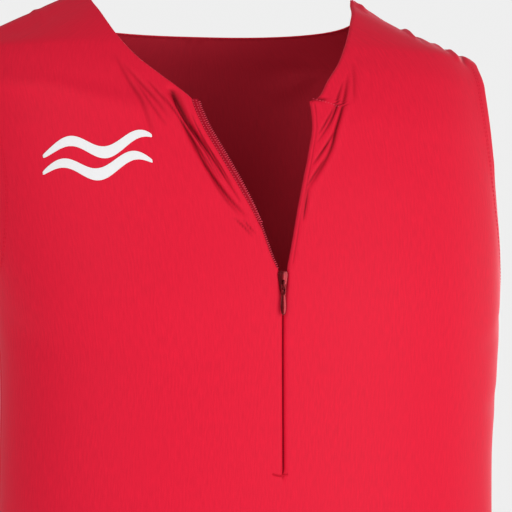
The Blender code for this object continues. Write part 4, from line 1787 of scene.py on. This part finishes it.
@dataclass
class Zip:
    """The zip's tapes, teeth and tape stitches."""

    relief: Relief
    beads: BeadRow
    tape_width: float = 0.010
    tape_wall: float = 0.0006
    tape_setback: float = 0.0015
    closed_gap: float = 0.0002
    closing: float = 0.010
    tooth_reach: float = 0.0004
    depth: float = CUT.wall + 0.0003
    tooth: Bead = Bead(pitch=0.0015, length=0.0008, width=0.0021, height=0.0009)
    closed_tooth: Bead = Bead(pitch=0.0013, length=0.0009, width=0.0030, height=0.0009, turn=8.0)

    def tape_edge(self, side: Side, z: Array) -> Array:
        """The tape's free edge, from the section's centre, signed.

        Args:
            side: The wearer's side.
            z: Heights.

        Returns:
            The edge's distance from the section's centre.
        """
        closed = CUT.zip_x(z) + side.value * self.closed_gap
        opened = CUT.teeth_edge(side, z)
        if side is Side.LEFT:
            opened = opened + self.tape_setback
        return mix(closed, opened, ease((z - CUT.foot_z) / self.closing + 1))

    def tape(self, side: Side, finish: bpy.types.Material) -> None:
        """Make one tape.

        Args:
            side: The wearer's side.
            finish: The material.
        """
        z = np.concatenate(
            [
                np.linspace(CUT.zip_end_z, CUT.foot_z, 60, endpoint=False),
                np.linspace(CUT.foot_z, CUT.neck_corner_z, 60),
            ]
        )
        start = self.tape_edge(side, z)
        share = np.linspace(0, 1, 13)
        x = start[:, None] + side.value * self.tape_width * share
        rows = np.repeat(z[:, None], len(share), axis=1)
        lattice = trunk_lattice(angle_at(x, rows), rows)
        lattice.flat = np.stack(np.broadcast_arrays(share * self.tape_width, rows), axis=-1)
        name = "zip_tape_" + side.name.lower()
        shell = Shell("woven_" + name, [lattice], self.relief, wall=self.tape_wall, lift=-self.depth)
        piece = register(shell.build(finish), SUIT_BODY, "zip_tape", name)

    def teeth(self, painted_highlight_finish: bpy.types.Material, painted_shade_finish: bpy.types.Material) -> None:
        """Make the teeth of the open and of the closed stretch.

        Args:
            painted_highlight_finish: The open teeth's material, the nylon's red painted lighter and pinker as
                a highlight.
            painted_shade_finish: The closed teeth's material, painted darker as shade in the closed zip's
                gap.
        """
        paths = []
        for side in Side:
            z = np.linspace(CUT.foot_z + 0.001, CUT.neck_corner_z - 0.002, 120)
            x = self.tape_edge(side, z) - side.value * self.tooth_reach
            paths.append(on_trunk(self.relief, angle_at(x, z), z, 0.0002 - self.depth))
        register(self.beads.run("zip_teeth_open", paths, self.tooth, painted_highlight_finish), SUIT_BODY, "zip_tape")
        z = np.linspace(CUT.zip_end_z + 0.001, -0.193, 120)
        paths = [on_trunk(self.relief, angle_at(CUT.zip_x(z), z), z, 0.0002 - self.depth)]
        register(self.beads.run("zip_teeth_closed", paths, self.closed_tooth, painted_shade_finish), SUIT_BODY, "zip_tape")

    def tape_stitches(self, finish: bpy.types.Material) -> None:
        """The stitches on the wearer's right tape, and the short seam at the left corner.

        Args:
            finish: The material.
        """
        z = np.linspace(CUT.tape_tuck_z + 0.006, CUT.neck_corner_z - 0.001, 120)
        paths = []
        for inset in (0.0007, 0.0030):
            x = CUT.cloth_edge(Side.RIGHT, z) + inset
            paths.append(on_trunk(self.relief, angle_at(x, z), z, 0.0002 - self.depth))
        across, down = np.linspace(10.3, 15.2, 20), np.linspace(-0.0578, -0.0630, 20)
        paths.append(on_trunk(self.relief, across, down, 0.0001))
        bead = Bead(pitch=0.0019, length=0.0014, width=0.0006, height=0.0005, turn=28.0, shake=20.0)
        register(self.beads.run("tape_stitches", paths, bead, finish), SUIT_BODY, "zip_tape")


@dataclass
class Slider:
    """The zip's slider with its bridge, and the pull tab that hangs from it."""

    top_z: float = -0.1775
    length: float = 0.0145
    top_half: float = 0.0032
    foot_half: float = 0.0018
    proud: float = 0.0010
    bridge_height: float = 0.0027
    bridge_bar: float = 0.0007
    bridge_width: float = 0.0010
    bridge_top: float = 0.0062
    bridge_foot: float = 0.0012
    pull_length: float = 0.0205
    pull_thick: float = 0.0009
    pull_bevel: float = 0.00042
    eye_half: float = 0.0018
    window_half: float = 0.0009
    window_length: float = 0.0044
    neck_down: float = 0.0068
    neck_half: float = 0.0015
    belly_down: float = 0.0140
    belly_half: float = 0.0021

    def origin(self) -> Vector:
        """The slider's top centre on the cloth's outer face."""
        z = np.array([self.top_z])
        return Vector(trunk_point(angle_at(CUT.zip_x(z), z), z)[0])

    def plate(
        self,
        outline: Sequence[Place],
        holes: Sequence[Sequence[Place]],
        low: float,
        high: float,
        bevel: float,
    ) -> bmesh.types.BMesh:
        """A bevelled plate across x and z, its thickness along -y from low to high.

        Args:
            outline: The plate's outline, as x and z.
            holes: The outlines of its holes.
            low: Where its back face lies.
            high: Where its front face lies.
            bevel: The bevel of its edges.

        Returns:
            The plate.
        """
        shape = bmesh.new()
        edges = []
        for loop in [outline, *holes]:
            corners = [shape.verts.new((x, -low, z)) for x, z in loop]
            edges += [shape.edges.new(pair) for pair in zip(corners, corners[1:] + corners[:1])]
        bmesh.ops.triangle_fill(shape, use_beauty=True, edges=edges)
        bmesh.ops.dissolve_limit(shape, angle_limit=0.01, verts=shape.verts, edges=shape.edges)
        shape.verts.index_update()
        back_faces, rim = shape.faces[:], [edge for edge in shape.edges if edge.is_boundary]
        backs = shape.verts[:]
        fronts = [shape.verts.new(vert.co + Vector((0, low - high, 0))) for vert in backs]
        for face in back_faces:
            shape.faces.new([fronts[vert.index] for vert in face.verts])
        for edge in rim:
            first, last = (vert.index for vert in edge.verts)
            shape.faces.new((backs[first], backs[last], fronts[last], fronts[first]))
        bmesh.ops.recalc_face_normals(shape, faces=shape.faces)
        sharp = [e for e in shape.edges if e.calc_face_angle(0.0) > math.radians(50)]
        bmesh.ops.bevel(
            shape, geom=sharp, offset=bevel, segments=3, profile=0.5, affect="EDGES", clamp_overlap=True
        )
        return shape

    def joined(
        self,
        name: str,
        shapes: Sequence[bmesh.types.BMesh],
        place: Vector,
        finish: bpy.types.Material,
    ) -> bpy.types.Object:
        """Join shapes into one piece, with its place in its mesh.

        Args:
            name: The piece's name.
            shapes: The shapes, which are freed.
            place: Where the piece goes.
            finish: The material.

        Returns:
            The object.
        """
        mesh = bpy.data.meshes.new(name)
        whole = bmesh.new()
        for shape in shapes:
            part = bpy.data.meshes.new("part")
            shape.to_mesh(part)
            whole.from_mesh(part)
            bpy.data.meshes.remove(part)
            shape.free()
        bmesh.ops.translate(whole, verts=whole.verts, vec=place)
        whole.to_mesh(mesh)
        whole.free()
        mesh.materials.append(finish)
        made = add_object(name, mesh)
        mesh.set_sharp_from_angle(angle=math.radians(50))
        return made

    def round_outline(self, right_side: Sequence[Place], per_span: int = 5) -> list[Place]:
        """A closed outline, smooth between the places of its right side from the top down."""
        right = [tuple(place) for place in smooth_path(right_side, per_span)]
        return right + [(-x, z) for x, z in reversed(right)]

    def build_slider(self, finish: bpy.types.Material) -> None:
        """Make the slider's body, with a flared head, side flanges and its bridge.

        Args:
            finish: The material.
        """
        foot = -self.length
        body = self.round_outline(
            [
                (self.top_half * 0.55, 0.0),
                (self.top_half, -0.0012),
                (self.top_half * 0.94, foot * 0.40),
                (self.foot_half * 1.05, foot + 0.0022),
                (self.foot_half * 0.55, foot),
            ]
        )
        ridge = self.round_outline(
            [
                (self.top_half * 0.34, -0.0010),
                (self.top_half * 0.60, -0.0026),
                (self.top_half * 0.50, foot * 0.45),
                (self.foot_half * 0.55, foot + 0.0024),
                (self.foot_half * 0.30, foot + 0.0012),
            ]
        )
        face, crest = self.proud - 0.0002, self.proud + self.bridge_height
        high, low = -self.bridge_top, foot + self.bridge_foot
        bar = self.bridge_bar
        arch = [(face, high), (crest - 0.001, high), (crest, high - 0.001), (crest, low + 0.001)]
        arch += [(crest - 0.001, low), (face, low), (face, low + bar), (crest - bar, low + bar)]
        arch += [(crest - bar, high - bar), (face, high - bar)]
        half = self.bridge_width / 2
        bridge = self.plate(arch, [], -half, half, 0.00022)
        for vertex in bridge.verts:
            out, across, up = vertex.co.x, -vertex.co.y, vertex.co.z
            vertex.co = (across, -out, up)
        bmesh.ops.recalc_face_normals(bridge, faces=bridge.faces)
        plate = self.plate(body, [], -CUT.wall, self.proud * 0.75, 0.0003)
        raised = self.plate(ridge, [], self.proud * 0.5, self.proud, 0.0002)
        piece = self.joined("zip_slider_body", [plate, raised, bridge], self.origin(), finish)
        register(piece, SUIT_BODY, "zip_metal", "zip_slider")

    def drop(self) -> bmesh.types.BMesh:
        """The pull's domed lower part, from its neck to its tip.

        Returns:
            The closed shape.
        """
        places = (
            (self.neck_half * 0.94, 0.0014 - self.neck_down),
            (self.neck_half, -self.neck_down),
            (self.belly_half, -self.belly_down),
            (self.belly_half * 0.76, 0.0018 - self.pull_length),
            (self.belly_half * 0.34, 0.0003 - self.pull_length),
            (0.0001, -self.pull_length),
        )
        rows = smooth_path(places, 6)
        turn = np.linspace(0, 2 * np.pi, 28, endpoint=False)
        shape = bmesh.new()
        rings = []
        for half, z in rows:
            thick = self.pull_thick / 2 * min(1.0, float(half) / self.neck_half + 0.05)
            ring = [(half * math.cos(t), -thick * math.sin(t), z) for t in turn]
            rings.append([shape.verts.new(place) for place in ring])
        for upper, lower in zip(rings, rings[1:]):
            for k in range(len(turn)):
                n = (k + 1) % len(turn)
                shape.faces.new((upper[k], lower[k], lower[n], upper[n]))
        shape.faces.new(rings[0])
        shape.faces.new(rings[-1][::-1])
        bmesh.ops.recalc_face_normals(shape, faces=shape.faces)
        return shape

    def build_pull(self, finish: bpy.types.Material) -> None:
        """Make the pull, a drop-shaped tab with a window at its head.

        Args:
            finish: The material.
        """
        half = self.pull_thick / 2
        outline = self.round_outline(
            [
                (self.eye_half * 0.55, half * 1.05),
                (self.eye_half, -0.0006),
                (self.eye_half * 0.98, -half - self.window_length),
                (self.neck_half, -self.neck_down),
                (self.neck_half * 0.6, -self.neck_down - 0.0010),
            ]
        )
        window = [
            (self.window_half, -half),
            (self.window_half, -half - self.window_length),
            (-self.window_half, -half - self.window_length),
            (-self.window_half, -half),
        ]
        tab = self.plate(outline, [window], -half, half, self.pull_bevel)
        piece = self.joined("zip_pull_tab", [tab, self.drop()], Vector(PULL_AXIS), finish)
        register(piece, PULL_BODY, "zip_metal", "zip_pull")


@dataclass
class Tack:
    """The bar tack that ends the zip, a bundle of close stitches with its ends turned up."""

    right: float = 0.0073
    left: float = 0.0029
    dip: float = 0.0012
    bead: Bead = Bead(pitch=0.00042, length=0.00045, width=0.0017, height=0.0006, shake=16.0)

    def build(self, relief: Relief, beads: BeadRow, finish: bpy.types.Material) -> None:
        """Make the tack.

        Args:
            relief: Heights above the figure.
            beads: The tree that sets beads.
            finish: The material.
        """
        share = np.linspace(0, 1, 40)
        z = CUT.zip_end_z - self.dip * np.sin(np.pi * share)
        x = CUT.zip_x(z) + mix(-self.right, self.left, share)
        path = on_trunk(relief, angle_at(x, z), z, 0.0002)
        register(beads.run("zip_end_tack", [path], self.bead, finish), SUIT_BODY, "zip_tape", "zip_tack")


@dataclass
class Motif:
    """Two wave-shaped ribbons printed on the wearer's right chest."""

    centre_x: float = -0.100
    centre_z: float = -0.1000
    half_length: float = 0.0350
    stroke: float = 0.0080
    tip_share: float = 0.22
    tip_power: float = 0.6
    swing: float = 0.0052
    waves: float = 1.5
    shift: float = 0.1
    spacing: float = 0.0145
    slant: float = 0.10
    film: float = 0.00022

    def ribbon(self, order: int) -> Lattice:
        """The points of one ribbon.

        Args:
            order: 0 for the lower ribbon and 1 for the upper one.

        Returns:
            The points.
        """
        share = np.linspace(0, 1, 90)
        along = mix(-self.half_length, self.half_length, share)
        wave = self.swing * np.sin(2 * np.pi * (self.waves * share - self.shift * order))
        middle = self.centre_z + self.slant * along + wave + (order - 0.5) * self.spacing
        swell = clamp(np.sin(np.pi * share)) ** self.tip_power
        half = self.stroke / 2 * mix(self.tip_share, 1.0, swell)
        x = self.centre_x + along - TRUNK.at(middle)[3]
        across = np.linspace(-1, 1, 13)
        z = middle[:, None] + half[:, None] * across
        return trunk_lattice(angle_at(np.repeat(x[:, None], len(across), axis=1), z), z)

    def build(self, relief: Relief, finish: bpy.types.Material) -> None:
        """Make both ribbons.

        Args:
            relief: Heights above the figure.
            finish: The material.
        """
        for order, name in enumerate(("lower", "upper")):
            ribbons = [self.ribbon(order)]
            shell = Shell("print_" + name, ribbons, relief, wall=self.film, lift=self.film + 0.0001)
            register(shell.build(finish), SUIT_BODY, "print", "chest_motif_" + name)


@dataclass
class SeamStitches:
    """Stitches in the cloth's own red: twin rows along the hems and armholes."""

    relief: Relief
    legs: dict[Side, Relief]
    beads: BeadRow
    stitch: Bead = Bead(pitch=0.0030, length=0.0024, width=0.00040, height=0.00030, shake=5.0)
    flatlock: Bead = Bead(
        pitch=0.0019, length=0.0044, width=0.00042, height=0.00040, turn=68.0, shake=6.0, seed=5
    )
    lift: float = 0.00005

    def trunk_seams(self, finish: bpy.types.Material) -> None:
        """Flatlock stitches over the shoulder, side and waist seams.

        Args:
            finish: The material.
        """
        share = np.linspace(0.02, 0.98, 120)
        paths = []
        for side in Side:
            angle = side.value * mix(CUT.seam_at_neck, CUT.seam_at_tip, share)
            z = mix(CUT.neck_point_z, CUT.shoulder_tip_z, share)
            paths.append(on_trunk(self.relief, angle, z, self.lift))
            z = mix(CUT.waist_z + 0.003, CUT.underarm_z - 0.002, share)
            paths.append(on_trunk(self.relief, np.full_like(z, side.value * 90.0), z, self.lift))
        angle = np.linspace(-180, 180, 400)
        paths.append(on_trunk(self.relief, angle, np.full_like(angle, CUT.waist_z), self.lift))
        register(self.beads.run("trunk_seam_stitches", paths, self.flatlock, finish), SUIT_BODY, "suit_cloth")

    def leg_seams(self, finish: bpy.types.Material) -> None:
        """Flatlock stitches down the centre and inside-leg seams.

        Args:
            finish: The material.
        """
        paths = []
        for turn, low in ((0.0, 0.03), (1.0, 0.03)):
            stage = np.linspace(low, 1.97, 200)
            path = on_leg(self.legs[Side.LEFT], Side.LEFT, np.full_like(stage, turn), stage, self.lift)
            paths.append(path)
        for side in Side:
            stage = np.linspace(2.04, 2.98, 120)
            paths.append(on_leg(self.legs[side], side, np.full_like(stage, 0.0), stage, self.lift))
        register(self.beads.run("leg_seam_stitches", paths, self.flatlock, finish), SUIT_BODY, "suit_cloth")

    def armholes(self, finish: bpy.types.Material) -> None:
        """Two rows round each armhole.

        Args:
            finish: The material.
        """
        share = np.linspace(0.02, 0.985, 150)
        for side in Side:
            paths = []
            for scoop, way in ((-CUT.front_scoop, -1), (CUT.back_scoop, 1)):
                angle, z = CUT.armhole(share, scoop)
                for inset in (0.0085, 0.0105):
                    moved = turned(angle, z, way * inset * 0.9)
                    paths.append(on_trunk(self.relief, side.value * moved, z, self.lift))
            name = "armhole_stitches_" + side.name.lower()
            register(self.beads.run(name, paths, self.stitch, finish), SUIT_BODY, "suit_cloth")

    def hems(self, finish: bpy.types.Material) -> None:
        """Two rows round each leg's hem.

        Args:
            finish: The material.
        """
        turn = np.linspace(0, 1, 240)
        for side in Side:
            paths = []
            for stage in (2.86, 2.872):
                path = on_leg(self.legs[side], side, turn, np.full_like(turn, stage), self.lift)
                paths.append(path)
            name = "hem_stitches_" + side.name.lower()
            register(self.beads.run(name, paths, self.stitch, finish), SUIT_BODY, "suit_cloth")


# ---------------------------------------------------------------------------------------------
# The studio
# ---------------------------------------------------------------------------------------------


@dataclass(frozen=True)
class SoftBox:
    """A square studio light that looks at the chest."""

    name: str
    place: tuple[float, float, float]
    size: float
    watts: float
    colour: Colour = (1.0, 1.0, 1.0)

    def build(self, target: Vector) -> None:
        """Hang the light.

        Args:
            target: The point that it looks at.
        """
        light = bpy.data.lights.new(self.name, "AREA")
        light.shape = "SQUARE"
        light.size = self.size
        light.energy = self.watts
        light.color = self.colour
        holder = bpy.data.objects.new(self.name, light)
        holder.location = self.place
        holder.rotation_euler = (target - Vector(self.place)).to_track_quat("-Z", "Y").to_euler()
        holder.visible_camera = False
        bpy.context.scene.collection.objects.link(holder)


@dataclass
class Studio:
    """The floor, the backdrop's tone, the lights and the camera."""

    azimuth: float = -12.0
    elevation: float = -4.0
    distance: float = 2.6
    target: tuple[float, float, float] = (0.009, -0.090, -0.166)
    sensor: float = 36.0
    lens: float = 268.734375
    floor_below_hem: float = 0.46
    tone: float = 0.86
    ambient: float = 0.34
    boxes: tuple[SoftBox, ...] = (
        SoftBox("key_box", (1.3, -2.2, -0.25), 1.4, 26.5),
        SoftBox("fill_box", (-1.6, -1.7, 0.75), 1.6, 16.0),
        SoftBox("rim_box", (2.1, 0.3, 0.1), 1.2, 7.0),
        SoftBox("back_box", (1.6, 2.1, 0.4), 1.3, 19.0),
    )

    def back(self) -> Vector:
        """The direction from the target to the camera."""
        a, e = math.radians(self.azimuth), math.radians(self.elevation)
        return Vector((math.sin(a) * math.cos(e), -math.cos(a) * math.cos(e), math.sin(e)))

    def build(self) -> None:
        """Set up the studio."""
        scene = bpy.context.scene
        scene.view_settings.view_transform = "Standard"
        camera = bpy.data.cameras.new("camera")
        camera.sensor_width = self.sensor
        camera.lens = self.lens
        holder = bpy.data.objects.new("camera", camera)
        holder.location = Vector(self.target) + self.back() * self.distance
        holder.rotation_euler = self.back().to_track_quat("Z", "Y").to_euler()
        scene.collection.objects.link(holder)
        scene.camera = holder
        for box in self.boxes:
            box.build(Vector(self.target))
        self.build_floor()
        self.build_world(scene)

    def build_floor(self) -> None:
        """Lay a wide plain floor well below the hems."""
        mesh = bpy.data.meshes.new("floor")
        shape = bmesh.new()
        bmesh.ops.create_circle(shape, cap_ends=True, segments=96, radius=9.0)
        bmesh.ops.translate(shape, verts=shape.verts, vec=(0, 0, CUT.hem_z - self.floor_below_hem))
        shape.to_mesh(mesh)
        shape.free()
        pale = Finish("pale_floor", (0.86, 0.86, 0.86), roughness=0.9, specular=0.1, glow=0.31)
        mesh.materials.append(pale.material())
        floor = bpy.data.objects.new("floor", mesh)
        bpy.context.scene.collection.objects.link(floor)

    def build_world(self, scene: bpy.types.Scene) -> None:
        """Give the surroundings an even pale tone, seen brighter than it lights.

        Args:
            scene: The scene.
        """
        world = bpy.data.worlds.new("studio")
        scene.world = world
        world.use_nodes = True
        world.node_tree.nodes.clear()
        nodes = Nodes(world.node_tree)
        seen = nodes.node("ShaderNodeLightPath").out("Is Camera Ray")
        strength = self.ambient + seen * (self.tone - self.ambient)
        shade = nodes.node("ShaderNodeBackground", {}, {"Color": (1.0, 1.0, 1.0), "Strength": strength})
        nodes.node("ShaderNodeOutputWorld", {}, {"Surface": shade.out()})


def main() -> None:
    """Build the studio and every piece of the suit."""
    logging.basicConfig(level=logging.INFO, format="%(name)s: %(message)s")
    Studio().build()
    cloth, inside = RED_CLOTH.material(), RED_INSIDE.material()
    thread = THREAD.material()
    enamel = ENAMEL.material()
    beads = BeadRow()
    trunk = TrunkCloth()
    trunk.build((cloth, inside))
    reliefs = LegCloth().build((cloth, inside))
    zip_parts = Zip(trunk.relief, beads)
    tape = RED_TAPE.material()
    for side in Side:
        zip_parts.tape(side, tape)
    zip_parts.teeth(NYLON_PAINTED_HIGHLIGHT.material(), NYLON_PAINTED_SHADE.material())
    zip_parts.tape_stitches(PINK_THREAD.material())
    slider = Slider()
    slider.build_slider(enamel)
    slider.build_pull(enamel)
    Tack().build(trunk.relief, beads, thread)
    Motif().build(trunk.relief, WHITE_PRINT.material())
    stitches = SeamStitches(trunk.relief, reliefs, beads)
    stitches.trunk_seams(thread)
    stitches.leg_seams(thread)
    stitches.armholes(thread)
    stitches.hems(thread)


if __name__ == "__main__":
    main()
